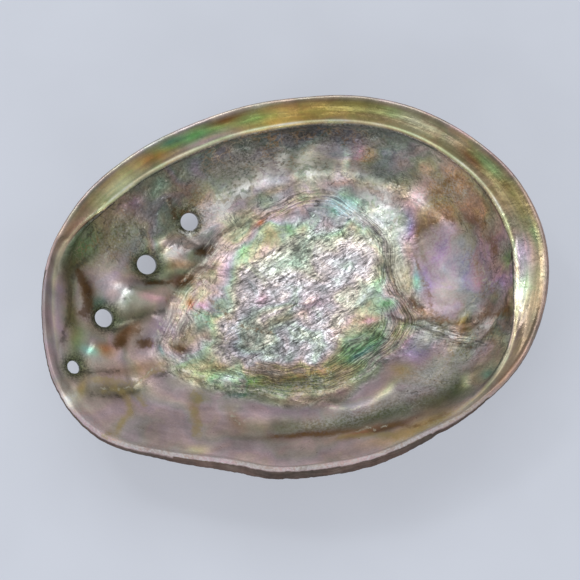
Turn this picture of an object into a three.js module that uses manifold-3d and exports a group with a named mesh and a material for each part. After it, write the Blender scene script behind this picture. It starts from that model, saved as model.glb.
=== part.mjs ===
// An abalone shell lying on its back with the hollow side up. Millimetres, +Z up, origin at the middle
// of the bounding box's base. +X points to the spire end, -X to the young end with the row of breathing
// holes, and +Y to the side with the flat ledge. The shell is one closed solid: floor, wall, ledge, rim
// and outside are one skin, worked out from profiles that run from the middle of the floor over the rim
// to the middle of the underside, one for each direction in plan.
import * as THREE from "three";
import { mergeVertices } from "three/addons/utils/BufferGeometryUtils.js";
import Module from "manifold-3d";

// Rim: its distance from the middle in plan, every 15 degrees anticlockwise from +X.
const RIM_RADII = [
  90, 88.5, 84, 79.5, 75, 71, 69.5, 70, 73, 78, 84, 88.5,
  90, 91, 87.5, 77.5, 71, 70, 69.5, 71, 73, 78, 84, 88,
];
const RIM_HEIGHT = 41; // mean height above the surface that the shell lies on
const RIM_RISE = 5; // how much higher than the mean the rim is at its highest point
const RIM_RISE_AT = 50; // degrees, direction of that point
const DEEPEST = [8, 7]; // the dome's lowest point in plan, which the profiles' middles lean to

// Ledge: the flat shelf inside the rim, from the young end round the +Y side to the spire end.
// Its width, and the share of the ledge side's profile in the shell's own, every 15 degrees as above.
const LEDGE_WIDTHS = [
  15.5, 15.8, 15.2, 14.8, 14.6, 13.8, 13.5, 12.6, 12.5, 11.6, 9.8, 2.5,
  0, 0, 0, 0, 0, 0, 0, 0, 0, 4.2, 8.2, 13,
];
const LEDGE_SHARES = [
  1, 1, 1, 1, 1, 1, 1, 1, 1, 1, 0.95, 0.4,
  0.2, 0.1, 0, 0, 0, 0, 0, 0, 0, 0.3, 0.75, 1,
];
const LEDGE_DROP = 2.2; // the ledge's inner edge is this much lower than the rim
const UNDERCUT = 3; // how far the wall goes back under the ledge's inner edge

// Body
const FLOOR_THICKNESS = 5.5;
const LIP_THICKNESS = 2.6;
const DOME_POWER_INSIDE = 2.3; // curve of the lip side, inside and outside
const DOME_POWER_OUTSIDE = 2.6;
const FLAT_DEPTH = 0.4; // how much of the dome's lowest point is worn flat

// Muscle scar: the raised patch on the floor.
const SCAR_CENTRE = [0, 3];
const SCAR_RADII = [47, 44, 41, 36, 45, 45, 36, 44]; // every 45 degrees
const SCAR_HEIGHT = 1.2;
const SCAR_EDGE = 3; // width of the slope round it

// Spire: the hollow of the earlier whorls, the ridge that closes it, and the pit at its end.
const SPIRE_CENTRE = [61, 7];
const SPIRE_RADII = [16, 25];
const SPIRE_DEPTH = 1.4;
const APEX = [65, -17];
const APEX_RADIUS = 6;
const APEX_DEPTH = 1.2;

// Breathing holes, oldest first: place in plan, height of the inner surface there, radius, and the
// direction in which the bore leaves the shell.
const HOLES = [
  { at: [-33.4, 40.6], height: 11.5, radius: 3.5, way: [-0.1, 0.35, -0.93] },
  { at: [-51.3, 25], height: 13.7, radius: 3.85, way: [-0.15, 0.33, -0.93] },
  { at: [-68.5, 3.6], height: 22, radius: 3.5, way: [-0.25, 0.28, -0.93] },
  { at: [-79.8, -15.8], height: 30.6, radius: 2.5, way: [-0.5, 0.15, -0.85] },
];
const SEALED_HOLES = 7; // older ones, filled with nacre, that show outside as knobs
const SEALED_STEP = 0.24; // angle between two of them about the apex, radians
const SPIRAL_RATE = 0.55; // growth of the shell's spiral, per radian
const FUNNEL_RADIUS = 6.5;
const FUNNEL_DEPTH = 1.3;
const TUBE_HEIGHT = 1.8; // raised rim round each hole outside
const APEX_BULGE = 2; // height of the spire outside

// Mesh
const CELLS = 28; // squares along each side of the grids that cover the floor and the underside
const STEPS = 2; // rows of faces between two points of the profile, outside those grids
const BORE_SIDES = 16;
const BORE_LENGTH = 34;

const radians = THREE.MathUtils.degToRad;
const smooth = THREE.MathUtils.smoothstep;
const lerp = THREE.MathUtils.lerp;

// The value at an angle, from values given at equal steps round a circle.
function round(values, angle) {
  const n = values.length;
  const turn = (((angle / (2 * Math.PI)) % 1) + 1) % 1;
  const k = Math.floor(turn * n);
  const t = turn * n - k;
  const [a, b, c, d] = [-1, 0, 1, 2].map((i) => values[(k + i + n) % n]);
  return b + 0.5 * t * (c - a + t * (2 * a - 5 * b + 4 * c - d + t * (3 * (b - c) + d - a)));
}

const rimRadius = (angle) => round(RIM_RADII, angle);
const rimHeight = (angle) => RIM_HEIGHT + RIM_RISE * Math.cos(angle - radians(RIM_RISE_AT));
const ledgeWidth = (angle) => Math.max(0, round(LEDGE_WIDTHS, angle));
const ledgeShare = (angle) => THREE.MathUtils.clamp(round(LEDGE_SHARES, angle), 0, 1);

// Points [r, z] of the lip side's profile: a plain dome that ends in a thin edge.
function lipProfile(R, Z) {
  const inside = (share) => [
    share * R,
    FLOOR_THICKNESS + (Z - FLOOR_THICKNESS) * share ** DOME_POWER_INSIDE,
  ];
  const outside = (share) => [
    share * R,
    (Z - LIP_THICKNESS) * share ** DOME_POWER_OUTSIDE - FLAT_DEPTH,
  ];
  const edge = [
    [R - 1.4, Z],
    [R - 0.3, Z - 0.9],
    [R, Z - LIP_THICKNESS],
  ];
  return [
    ...[0, 0.25, 0.5, 0.72, 0.8, 0.86, 0.9, 0.93, 0.95].map(inside),
    ...edge,
    ...[0.97, 0.9, 0.81, 0.7, 0.5, 0.25, 0].map(outside),
  ];
}

// Points [r, z] of the ledge side's profile: a steep wall, undercut below the ledge's inner edge.
function ledgeProfile(R, Z, width) {
  const top = Z - LEDGE_DROP;
  const inner = R - width;
  const wall = Z - FLOOR_THICKNESS;
  return [
    [0, FLOOR_THICKNESS],
    [0.25 * R, FLOOR_THICKNESS + 0.5],
    [0.5 * R, FLOOR_THICKNESS + 0.05 * wall],
    [0.72 * R, FLOOR_THICKNESS + 0.21 * wall],
    [inner - 3, FLOOR_THICKNESS + 0.5 * wall],
    [inner + UNDERCUT, FLOOR_THICKNESS + 0.76 * wall],
    [inner + 1, top - 1.9],
    [inner, top - 0.6],
    [inner + 1.5, top + 0.2],
    [R - 0.9 - 0.3 * width, Z - 0.5],
    [R - 0.6, Z],
    [R, Z - 1],
    [R - 1, Z - 4],
    [R - 5, 0.66 * Z],
    [R - 10.5, 0.38 * Z],
    [0.74 * R, 0.17 * Z],
    [0.5 * R, 0.05 * Z],
    [0.25 * R, 0.5 - FLAT_DEPTH],
    [0, -FLAT_DEPTH],
  ];
}

// Index of the profile's points where the grids end: floor grid, rim, underside grid.
const FLOOR_END = 3;
const RIM_INDEX = 10;
const UNDERSIDE_START = 15;
const PROFILE_END = 18;

function profileCurve(angle) {
  const R = rimRadius(angle);
  const Z = rimHeight(angle);
  const lip = lipProfile(R, Z);
  const ledge = ledgeProfile(R, Z, ledgeWidth(angle));
  const share = ledgeShare(angle);
  const points = lip.map(([r, z], k) => {
    const [ledgeR, ledgeZ] = ledge[k];
    return new THREE.Vector3(lerp(r, ledgeR, share), 0, lerp(z, ledgeZ, share));
  });
  return new THREE.CatmullRomCurve3(points, false, "centripetal");
}

const distance = ([x0, y0], x, y) => Math.hypot(x - x0, y - y0);
const mound = (d, radius) => Math.exp(-((d / radius) ** 2));
const total = (values) => values.reduce((sum, value) => sum + value, 0);

// Height added to the floor by the scar, the spire's hollow and the funnels round the holes.
function floorRelief(x, y) {
  const [sx, sy] = SCAR_CENTRE;
  const scarEdge = round(SCAR_RADII, Math.atan2(y - sy, x - sx));
  const scar = SCAR_HEIGHT * (1 - smooth(distance(SCAR_CENTRE, x, y), scarEdge - SCAR_EDGE, scarEdge));
  const across = (x - SPIRE_CENTRE[0]) / SPIRE_RADII[0];
  const along = (y - SPIRE_CENTRE[1]) / SPIRE_RADII[1];
  const spire = SPIRE_DEPTH * (1 - smooth(Math.hypot(across, along), 0.2, 1.1));
  const apex = APEX_DEPTH * mound(distance(APEX, x, y), APEX_RADIUS);
  const funnels = HOLES.map((hole) => FUNNEL_DEPTH * mound(distance(hole.at, x, y), FUNNEL_RADIUS));
  return scar - spire - apex - total(funnels);
}

// Sealed holes run back from the oldest open one along the shell's spiral to the apex.
function sealedHoles() {
  const oldest = HOLES[0].at;
  const start = Math.atan2(oldest[1] - APEX[1], oldest[0] - APEX[0]);
  const reach = distance(APEX, ...oldest);
  return Array.from({ length: SEALED_HOLES }, (_, k) => {
    const back = SEALED_STEP * (k + 1);
    const scale = Math.exp(-SPIRAL_RATE * back);
    const x = APEX[0] + reach * scale * Math.cos(start - back);
    const y = APEX[1] + reach * scale * Math.sin(start - back);
    return { at: [x, y], size: FUNNEL_RADIUS * scale };
  });
}

const knobs = [...HOLES.map((hole) => ({ at: hole.at, size: FUNNEL_RADIUS })), ...sealedHoles()];

// Thickness added to the outside by the tubes and knobs of the hole row and by the spire.
function outerRelief(x, y) {
  const height = TUBE_HEIGHT / FUNNEL_RADIUS;
  const row = knobs.map(({ at, size }) => height * size * mound(distance(at, x, y), size));
  return total(row) + APEX_BULGE * mound(distance(APEX, x, y), 2 * APEX_RADIUS);
}

// Place in plan of a profile's point.
function inPlan(angle, r) {
  const lean = 1 - (r / rimRadius(angle)) ** 2;
  return [r * Math.cos(angle) + DEEPEST[0] * lean, r * Math.sin(angle) + DEEPEST[1] * lean];
}

// The shell's skin at an angle and a place s along the profile, relief included.
function skinPoint(angle, s, curve) {
  const p = curve.getPoint(s / PROFILE_END);
  const [x, y] = inPlan(angle, p.x);
  if (s < RIM_INDEX) {
    const near = 1 - smooth(s, FLOOR_END, FLOOR_END + 2);
    return [x, y, p.z + near * floorRelief(x, y)];
  }
  const near = smooth(s, UNDERSIDE_START - 2, UNDERSIDE_START);
  return [x, y, Math.max(0, p.z - near * outerRelief(x, y))];
}

// A square grid bent into a disc: ring number and angle of the grid's point (i, j).
function discPlace(i, j) {
  const a = (2 * i) / CELLS - 1;
  const b = (2 * j) / CELLS - 1;
  const share = Math.max(Math.abs(a), Math.abs(b));
  if (share === 0) return { share, angle: 0 };
  const eighth = Math.PI / 4;
  if (share === Math.abs(a)) return { share, angle: (a > 0 ? 0 : Math.PI) + eighth * (b / a) };
  return { share, angle: (b > 0 ? Math.PI / 2 : (3 * Math.PI) / 2) - eighth * (a / b) };
}

function shellGeometry() {
  const vertices = [];
  const faces = [];
  const quad = (a, b, c, d, flip) => faces.push(...(flip ? [a, c, b, a, d, c] : [a, b, c, a, c, d]));
  const add = (angle, s, curve) => vertices.push(...skinPoint(angle, s, curve)) / 3 - 1;

  // A disc of the profile from its end at the middle (s = from) out to s = to.
  function disc(from, to, flip) {
    const ids = [];
    for (let i = 0; i <= CELLS; i++) {
      ids.push([]);
      for (let j = 0; j <= CELLS; j++) {
        const { share, angle } = discPlace(i, j);
        ids[i].push(add(angle, lerp(from, to, share), profileCurve(angle)));
      }
    }
    for (let i = 0; i < CELLS; i++) {
      for (let j = 0; j < CELLS; j++) {
        quad(ids[i][j], ids[i + 1][j], ids[i + 1][j + 1], ids[i][j + 1], flip);
      }
    }
    const edge = [];
    for (let j = 0; j < CELLS; j++) edge.push(ids[CELLS][j]);
    for (let i = CELLS; i > 0; i--) edge.push(ids[i][CELLS]);
    for (let j = CELLS; j > 0; j--) edge.push(ids[0][j]);
    for (let i = 0; i < CELLS; i++) edge.push(ids[i][0]);
    return edge;
  }

  const sides = 4 * CELLS;
  const angles = Array.from({ length: sides }, (_, k) => -Math.PI / 4 + (2 * Math.PI * k) / sides);
  const curves = angles.map(profileCurve);
  let ring = disc(0, FLOOR_END, false);
  const rows = (UNDERSIDE_START - FLOOR_END) * STEPS;
  const last = disc(PROFILE_END, UNDERSIDE_START, true);
  for (let row = 1; row <= rows; row++) {
    const s = FLOOR_END + row / STEPS;
    const next = row === rows ? last : angles.map((angle, k) => add(angle, s, curves[k]));
    ring.forEach((id, k) => {
      const right = (k + 1) % sides;
      quad(id, next[k], next[right], ring[right], false);
    });
    ring = next;
  }
  const geometry = new THREE.BufferGeometry();
  geometry.setAttribute("position", new THREE.Float32BufferAttribute(vertices, 3));
  geometry.setIndex(faces);
  return geometry;
}

const wasm = await Module();
wasm.setup();

function toSolid(geometry) {
  const plain = geometry.clone();
  plain.deleteAttribute("normal");
  plain.deleteAttribute("uv");
  const merged = mergeVertices(plain, 1e-3);
  return new wasm.Manifold(
    new wasm.Mesh({
      numProp: 3,
      vertProperties: merged.attributes.position.array,
      triVerts: new Uint32Array(merged.index.array),
    }),
  );
}

function toGeometry(solid) {
  const mesh = solid.getMesh();
  const geometry = new THREE.BufferGeometry();
  geometry.setAttribute("position", new THREE.BufferAttribute(mesh.vertProperties, 3));
  geometry.setIndex(new THREE.BufferAttribute(mesh.triVerts, 1));
  return geometry.toNonIndexed();
}

// A cylinder through the shell along a hole's bore.
function boreGeometry({ at, height, radius, way }) {
  const direction = new THREE.Vector3(...way).normalize();
  const bore = new THREE.CylinderGeometry(radius, radius, BORE_LENGTH, BORE_SIDES);
  bore.applyQuaternion(new THREE.Quaternion().setFromUnitVectors(new THREE.Vector3(0, 1, 0), direction));
  return bore.translate(at[0], at[1], height);
}

const body = toSolid(shellGeometry());
const pierced = HOLES.reduce((solid, hole) => solid.subtract(toSolid(boreGeometry(hole))), body);

const nacre = new THREE.MeshStandardMaterial({ color: 0xb4aca6, roughness: 0.35, metalness: 0.3 });
const shell = new THREE.Mesh(toGeometry(pierced), nacre);
shell.name = "shell";

const abalone = new THREE.Group();
abalone.add(shell);
export default abalone;
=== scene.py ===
import itertools
import math

import bmesh
import bpy
import numpy as np
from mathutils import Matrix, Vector


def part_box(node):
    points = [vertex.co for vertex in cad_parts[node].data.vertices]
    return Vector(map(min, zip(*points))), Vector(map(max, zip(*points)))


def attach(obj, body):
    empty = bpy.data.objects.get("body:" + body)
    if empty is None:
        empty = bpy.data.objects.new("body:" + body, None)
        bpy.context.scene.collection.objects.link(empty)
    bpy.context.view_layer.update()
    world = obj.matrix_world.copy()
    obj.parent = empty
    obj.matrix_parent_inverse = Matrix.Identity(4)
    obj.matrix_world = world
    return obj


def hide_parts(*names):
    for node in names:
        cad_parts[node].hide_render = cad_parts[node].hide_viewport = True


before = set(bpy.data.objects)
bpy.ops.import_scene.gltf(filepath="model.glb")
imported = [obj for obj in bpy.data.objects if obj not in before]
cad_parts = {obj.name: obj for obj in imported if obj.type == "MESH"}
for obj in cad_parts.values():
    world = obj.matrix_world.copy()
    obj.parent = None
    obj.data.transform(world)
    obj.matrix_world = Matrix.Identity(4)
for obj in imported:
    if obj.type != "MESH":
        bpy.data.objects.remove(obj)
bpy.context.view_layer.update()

LOW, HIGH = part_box("shell")
DRAWN_LENGTH = 180.2  # mm, length of the shell as drawn here
UNIT = (HIGH.x - LOW.x) / DRAWN_LENGTH  # metres for one millimetre of the drawing
ROUND = 2 * math.pi  # a full turn

# ---------------------------------------------------------------- the shell's outline and section

RIM_RADII = [  # at every 15 degrees, as in the two tables of the ledge
    90, 88.5, 84, 79.5, 75, 71, 69.5, 70, 73, 78, 84, 88.5,
    90, 91, 87.5, 77.5, 71, 70, 69.5, 71, 73, 78, 84, 88,
]
RIM_INSET = 0.3  # keeps the wavy edge inside the outline
RIM_HEIGHT = 41
RIM_RISE, RIM_RISE_AT = 5, 50  # how much higher the rim is in one direction, in degrees
DEEPEST = (8, 7)  # where the floor is lowest, in plan
LEDGE_WIDTHS = [
    15.5, 15.8, 15.2, 14.8, 14.6, 13.8, 13.5, 12.6, 12.5, 11.6, 9.8, 2.5,
    0, 0, 0, 0, 0, 0, 0, 0, 0, 4.2, 8.2, 13,
]
LEDGE_SHARES = [  # 0 where the section is the plain lip, 1 where it is the ledge
    1, 1, 1, 1, 1, 1, 1, 1, 1, 1, 0.95, 0.4,
    0.2, 0.1, 0, 0, 0, 0, 0, 0, 0, 0.3, 0.75, 1,
]
LEDGE_DROP = 2.2  # from the rim to the ledge's inner edge
UNDERCUT = 3  # how far the wall goes back under the ledge
FLOOR_THICKNESS = 5.5
LIP_THICKNESS = 2.6
DOME_POWER_INSIDE = 2.3
DOME_POWER_OUTSIDE = 2.6
FLAT_DEPTH = 0.4  # how far the dome would go below the floor, where it is flat instead

# Places along the section, from the middle of the floor (0) over the rim to the underside's middle.
FLOOR_END = 3
EDGE_END = 12
UNDERSIDE_START = 15
SECTION_END = 18

# Mesh
CELLS = 146  # squares along each side of the grids on the floor and the underside
SIDES = 4 * CELLS
ROWS = {3: 13, 4: 13, 5: 9, 6: 4, 7: 4, 8: 7, 9: 5, 10: 3, 11: 3, 12: 9, 13: 10, 14: 9}
CRUST_START = (10.2, 10.6)  # where on the section the outer layer begins, lip side and ledge side
WALL_SIDES = 48  # points round a hole's wall
WALL_ROWS = 5
WAIST = 0.05  # share of its radius by which a hole is narrower half way through
CLOSEST = 0.3  # share of an even step that points round a hole keep from each other
BORE_DEPTH = 16  # mm, more than the shell's thickness at a hole


def around(values, angle):
    """The value at an angle, from values at equal steps round a circle."""
    values = np.asarray(values, float)
    n = len(values)
    turn = np.mod(angle / ROUND, 1) * n
    k = np.floor(turn).astype(int)
    t = turn - k
    a, b, c, d = (values[(k + step) % n] for step in (-1, 0, 1, 2))
    return b + 0.5 * t * (c - a + t * (2 * a - 5 * b + 4 * c - d + t * (3 * (b - c) + d - a)))


def rim_radius(angle):
    return around(RIM_RADII, angle) - RIM_INSET


def rim_height(angle):
    return RIM_HEIGHT + RIM_RISE * np.cos(angle - math.radians(RIM_RISE_AT))


def ledge_share(angle):
    return np.clip(around(LEDGE_SHARES, angle), 0, 1)


def lip_bevel(angle):
    """How far the pearl stops short of the outline, where the outer layer shows beyond it."""
    turn = np.degrees(angle) % 360
    return 1.6 * within(turn, 195, 250, 285, 325)


def crust_start(angle):
    lip_side, ledge_side = CRUST_START
    return lip_side + (ledge_side - lip_side) * ledge_share(angle) - 0.2 * lip_bevel(angle)


def lip_section(R, Z, bevel):
    """Points (r, z) of the lip side's section: a plain dome that ends in a thin edge."""
    wall = Z - FLOOR_THICKNESS
    inside = [
        (share * R, FLOOR_THICKNESS + wall * share**DOME_POWER_INSIDE)
        for share in (0, 0.25, 0.5, 0.72, 0.8, 0.86, 0.9, 0.93)
    ]
    last = 0.95 * R - 0.5 * bevel
    inside += [(last, FLOOR_THICKNESS + wall * (last / R) ** DOME_POWER_INSIDE)]
    edge = [(R - 1.4 - bevel, Z), (R - 0.5 - 0.7 * bevel, Z - 0.9), (R, Z - LIP_THICKNESS)]
    outside = [
        (share * R, (Z - LIP_THICKNESS) * share**DOME_POWER_OUTSIDE - FLAT_DEPTH)
        for share in (0.97, 0.9, 0.81, 0.7, 0.5, 0.25, 0)
    ]
    return inside + edge + outside


def ledge_section(R, Z, width):
    """Points (r, z) of the ledge side's section: a steep wall, undercut below the ledge."""
    top = Z - LEDGE_DROP
    inner = R - width
    wall = Z - FLOOR_THICKNESS
    return [
        (0 * R, FLOOR_THICKNESS + 0 * Z),
        (0.25 * R, FLOOR_THICKNESS + 0.5 + 0 * Z),
        (0.5 * R, FLOOR_THICKNESS + 0.05 * wall),
        (0.72 * R, FLOOR_THICKNESS + 0.21 * wall),
        (inner - 3, FLOOR_THICKNESS + 0.5 * wall),
        (inner + UNDERCUT, FLOOR_THICKNESS + 0.76 * wall),
        (inner + 0.9, top - 2.6),
        (inner + 0.35, top - 0.9),
        (inner + 2.4, top + 0.15),
        (R - 0.9 - 0.3 * width, Z - 0.9),
        (R - 0.6, Z),
        (R, Z - 1),
        (R - 1, Z - 4),
        (R - 5, 0.66 * Z),
        (R - 10.5, 0.38 * Z),
        (0.74 * R, 0.17 * Z),
        (0.5 * R, 0.05 * Z),
        (0.25 * R, 0.5 - FLAT_DEPTH + 0 * Z),
        (0 * R, -FLAT_DEPTH + 0 * Z),
    ]


def section_points(angle):
    R = rim_radius(angle)
    Z = rim_height(angle)
    width = np.maximum(0, around(LEDGE_WIDTHS, angle))
    share = ledge_share(angle)[:, None, None]
    lip = np.array([[r + 0 * R, z + 0 * Z] for r, z in lip_section(R, Z, lip_bevel(angle))])
    ledge = np.array([[r, z] for r, z in ledge_section(R, Z, width)])
    lip, ledge = (np.moveaxis(p, -1, 0) for p in (lip, ledge))
    return lip * (1 - share) + ledge * share


def on_section(points, s):
    """Centripetal Catmull-Rom curve through each row's points, at the place s of that row."""
    k = np.clip(np.floor(s).astype(int), 0, SECTION_END - 1)
    t = (s - k)[:, None]
    row = np.arange(len(s))
    first = 2 * points[:, :1] - points[:, 1:2]
    last = 2 * points[:, -1:] - points[:, -2:-1]
    padded = np.concatenate([first, points, last], axis=1)
    a, b, c, d = (padded[row, k + step] for step in (0, 1, 2, 3))

    def gap(p, q):
        return np.maximum(np.sqrt(np.linalg.norm(q - p, axis=1)), 1e-4)[:, None]

    before, here, after = gap(a, b), gap(b, c), gap(c, d)
    start = ((b - a) / before - (c - a) / (before + here) + (c - b) / here) * here
    end = ((c - b) / here - (d - b) / (here + after) + (d - c) / after) * here
    return (
        b
        + start * t
        + (3 * (c - b) - 2 * start - end) * t**2
        + (2 * (b - c) + start + end) * t**3
    )


def in_plan(angle, r):
    lean = 1 - (r / rim_radius(angle)) ** 2
    x = r * np.cos(angle) + DEEPEST[0] * lean
    y = r * np.sin(angle) + DEEPEST[1] * lean
    return x, y


def skin(angle, s):
    """Points of the plain skin, with no relief."""
    points = on_section(section_points(angle), s)
    x, y = in_plan(angle, points[:, 0])
    return np.stack([x, y, points[:, 1]], axis=1)


# ---------------------------------------------------------------- measures of a place


def smooth(value, low, high):
    t = np.clip((value - low) / (high - low), 0, 1)
    return t * t * (3 - 2 * t)


FAR = 1e9  # mm, more than any distance here


def within(value, start, full, last, end):
    """0 up to start, rising to 1 at full, falling from last, and 0 again from end on."""
    return smooth(value, start, full) * (1 - smooth(value, last, end))


class Noise:
    """Seeded gradient noise in space, roughly from -1 to 1."""

    def __init__(self, seed):
        draw = np.random.default_rng(seed)
        self.order = draw.permutation(256)
        slopes = draw.normal(size=(256, 3))
        self.slopes = 1.6 * slopes / np.linalg.norm(slopes, axis=1)[:, None]

    def __call__(self, place, size, octaves=1):
        total = np.zeros(len(place))
        strength = 1.0
        for _ in range(octaves):
            total += strength * self.one(place / size)
            strength *= 0.5
            size = size * 0.5
        return total

    def one(self, p):
        cell = np.floor(p).astype(int)
        f = p - cell
        ease = f**3 * (f * (f * 6 - 15) + 10)
        total = np.zeros(len(p))
        for corner in itertools.product((0, 1), repeat=3):
            at = (cell + corner) & 255
            key = self.order[at[:, 0]]
            key = self.order[(key + at[:, 1]) & 255]
            key = self.order[(key + at[:, 2]) & 255]
            weight = np.prod(np.where(corner, ease, 1 - ease), axis=1)
            total += weight * np.sum(self.slopes[key] * (f - corner), axis=1)
        return total


def to_line(x, y, line):
    """Distance to a line of points, how far along it the nearest place is, from 0 to 1, and the
    side of it: 1 on the left of its direction, -1 on the right."""
    best = np.full(len(x), FAR)
    along = np.zeros(len(x))
    side = np.ones(len(x))
    lengths = [math.dist(a, b) for a, b in zip(line, line[1:])]
    done = 0.0
    for (ax, ay), (bx, by), length in zip(line, line[1:], lengths):
        dx, dy = bx - ax, by - ay
        t = np.clip(((x - ax) * dx + (y - ay) * dy) / length**2, 0, 1)
        d = np.hypot(x - ax - t * dx, y - ay - t * dy)
        nearer = d < best
        best = np.where(nearer, d, best)
        along = np.where(nearer, (done + t * length) / sum(lengths), along)
        side = np.where(nearer, np.sign(dx * (y - ay) - dy * (x - ax)), side)
        done += length
    return best, along, side


def beside(x, y, line):
    """Signed distance to a line of points: positive on the left of its direction."""
    distance, _, side = to_line(x, y, line)
    return distance * side


def mound(d, radius):
    return np.exp(-((d / radius) ** 2))


def spot(x, y, at, size, turn=0):
    """A soft elliptic spot: size is its half length and half width, turn its direction in degrees."""
    c, s = math.cos(math.radians(turn)), math.sin(math.radians(turn))
    along = ((x - at[0]) * c + (y - at[1]) * s) / size[0]
    across = (-(x - at[0]) * s + (y - at[1]) * c) / size[1]
    return np.exp(-(along**2 + across**2))


def stroke(x, y, line, width):
    """A soft line that fades at its ends."""
    d, along, _ = to_line(x, y, line)
    return mound(d, width) * within(along, 0, 0.12, 0.88, 1)


# ---------------------------------------------------------------- features, in millimetres

HOLES = [  # oldest first: place, height of the inner surface, radius, way out of the shell
    ((-33.4, 40.6), 11.5, 3.5, (-0.1, 0.35, -0.93)),
    ((-51.3, 25.0), 13.7, 3.85, (-0.15, 0.33, -0.93)),
    ((-68.5, 3.6), 22.0, 3.5, (-0.25, 0.28, -0.93)),
    ((-79.8, -15.8), 30.6, 2.5, (-0.5, 0.15, -0.85)),
]
KNOB_SIZE = 6.5  # mm, half width of the low knob round an open hole, on the outside
SEALED_HOLES = 7
SEALED_STEP = 0.24  # radians from one filled hole to the next, seen from the apex
SPIRAL_RATE = 0.55
APEX = (65, -17)

SCAR_REACH, RIM_REACH, CRUST_REACH = 40, 80, 60  # mm, mean radii of the lines that noises follow
SCAR_MIDDLE = (0, 3)
SCAR_RADII = [
    38, 38.5, 42.5, 43.5, 44.5, 42.5, 38.5, 35.5, 34, 34.6, 35.5, 39,
    44, 50.5, 46, 41.5, 38, 38, 37, 38.3, 38, 39.5, 43.2, 45,
]
ROUGH_MIDDLE = (4, 6)
ROUGH_RADII = [30, 34, 31, 25, 22.5, 26, 28, 41, 29, 27, 24, 19]
SPIRE_MIDDLE = (60, 5)
SPIRE_REACH = (14, 21)
WHORL_EDGE = [(44, -13), (52, -20), (60, -26), (67, -23.5), (71.5, -19), (75, -12), (77, -4)]
CRESCENT = [(38, -9), (46, -14), (54, -19), (61, -23), (68, -21)]
PIT = (64, -15)
BOSS = (-84, -30)
HOLE_ROW = [hole[0] for hole in HOLES] + [BOSS]
FLANGE_EDGE = [(-84, 30), (-82, 18), (-79, 14), (-80, 2), (-84, -6), (-86, -15), (-85, -24)]
LIP_BULGE = [(-26, -38), (-18, -41), (-6, -41), (8, -45)]
LIP_TROUGH = [(-30, -42), (-16, -47), (0, -50), (18, -51), (38, -50), (56, -44), (66, -36)]
PALE_CRESCENT = [(4, -38), (12, -41), (19, -41), (26, -38), (32, -34)]
LEDGE_TIP = [(-72, 34), (-77, 30.5), (-82, 28.5), (-92, 26)]
LAYER_EDGE = [(-76, -24), (-66, -24), (-59, -22), (-54, -18), (-47, -17), (-42, -20), (-34, -24)]


def flow_along(across, angle, reach):
    """Coordinates that follow curved lines: millimetres across them, and a circle's along them."""
    return np.stack([across, reach * np.cos(angle), reach * np.sin(angle)], axis=1)


class Place:
    """Named measures of many places on the skin, for the relief and the colours alike."""

    def __init__(self, p, angle, s):
        self.p, self.s = p, s
        self.wander_x = WANDER_X(p, 13, 3)
        self.wander_y = WANDER_Y(p, 13, 3)
        self.x = p[:, 0] + 1.1 * self.wander_x
        self.y = p[:, 1] + 1.1 * self.wander_y
        self.scar = self.outside(SCAR_MIDDLE, SCAR_RADII)
        self.rough = self.outside(ROUGH_MIDDLE, ROUGH_RADII, 2.5)
        across = (self.x - SPIRE_MIDDLE[0]) / SPIRE_REACH[0]
        along = (self.y - SPIRE_MIDDLE[1]) / SPIRE_REACH[1]
        self.spire = np.hypot(across, along)
        self.whorl = beside(self.x, self.y, WHORL_EDGE)
        self.flange = beside(self.x, self.y, FLANGE_EDGE)
        self.row = to_line(p[:, 0], p[:, 1], HOLE_ROW)[0]
        self.rim = rim_radius(angle) - np.hypot(p[:, 0], p[:, 1])
        self.direction = np.degrees(np.arctan2(self.y, self.x)) % 360
        self.ledge_side = ledge_share(angle)
        bearing = np.arctan2(self.y - SCAR_MIDDLE[1], self.x - SCAR_MIDDLE[0])
        self.scar_flow = flow_along(self.scar, bearing, SCAR_REACH)
        self.rim_flow = flow_along(self.rim, angle, RIM_REACH)

    def outside(self, middle, radii, ragged=0.0):
        """Distance outside a closed outline, given by its radii about a middle."""
        dx, dy = self.x - middle[0], self.y - middle[1]
        reach = np.hypot(dx, dy) - around(radii, np.arctan2(dy, dx))
        return reach + ragged * RAGGED(self.p, 5, 2)

    def near(self, at, size, turn=0):
        return spot(self.x, self.y, at, size, turn)

    def cover(self, spots):
        """The strongest of a list of soft spots: strength, middle, size, direction."""
        return np.maximum.reduce([share * self.near(at, size, turn) for share, at, size, turn in spots])

    def from_point(self, at):
        return np.hypot(self.p[:, 0] - at[0], self.p[:, 1] - at[1])

    def line(self, points, width):
        return stroke(self.x, self.y, points, width)

    def between(self, low, high, fade=12):
        """1 for directions from low to high degrees in plan, fading at both ends."""
        middle, half = (low + high) / 2, (high - low) / 2
        off = np.abs((self.direction - middle + 180) % 360 - 180)
        return 1 - smooth(off, half - fade / 2, half + fade / 2)


class Bore:
    """A breathing hole: a cylinder through the shell."""

    def __init__(self, at, height, radius, way):
        self.radius = radius
        self.centre = np.array([*at, height])
        self.axis = np.array(way) / np.linalg.norm(way)
        side = np.cross(self.axis, (0, 1, 0))
        self.side = side / np.linalg.norm(side)
        self.other = np.cross(self.axis, self.side)

    def polar(self, p):
        """Distance from the axis, angle round it, and depth along it."""
        q = p - self.centre
        u, v = q @ self.side, q @ self.other
        return np.hypot(u, v), np.arctan2(v, u), q @ self.axis

    def points(self, angle, depth, radius):
        u, v = radius * np.cos(angle), radius * np.sin(angle)
        along = np.outer(depth, self.axis)
        return self.centre + np.outer(u, self.side) + np.outer(v, self.other) + along


BORES = [Bore(*hole) for hole in HOLES]

WANDER_X, WANDER_Y, RAGGED = Noise(11), Noise(12), Noise(13)
SWELL, RIPPLE, FLAKE, GRAIN = Noise(21), Noise(22), Noise(23), Noise(24)
FILM, CLOUD, CRUST, CHIP = Noise(31), Noise(32), Noise(33), Noise(34)

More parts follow.
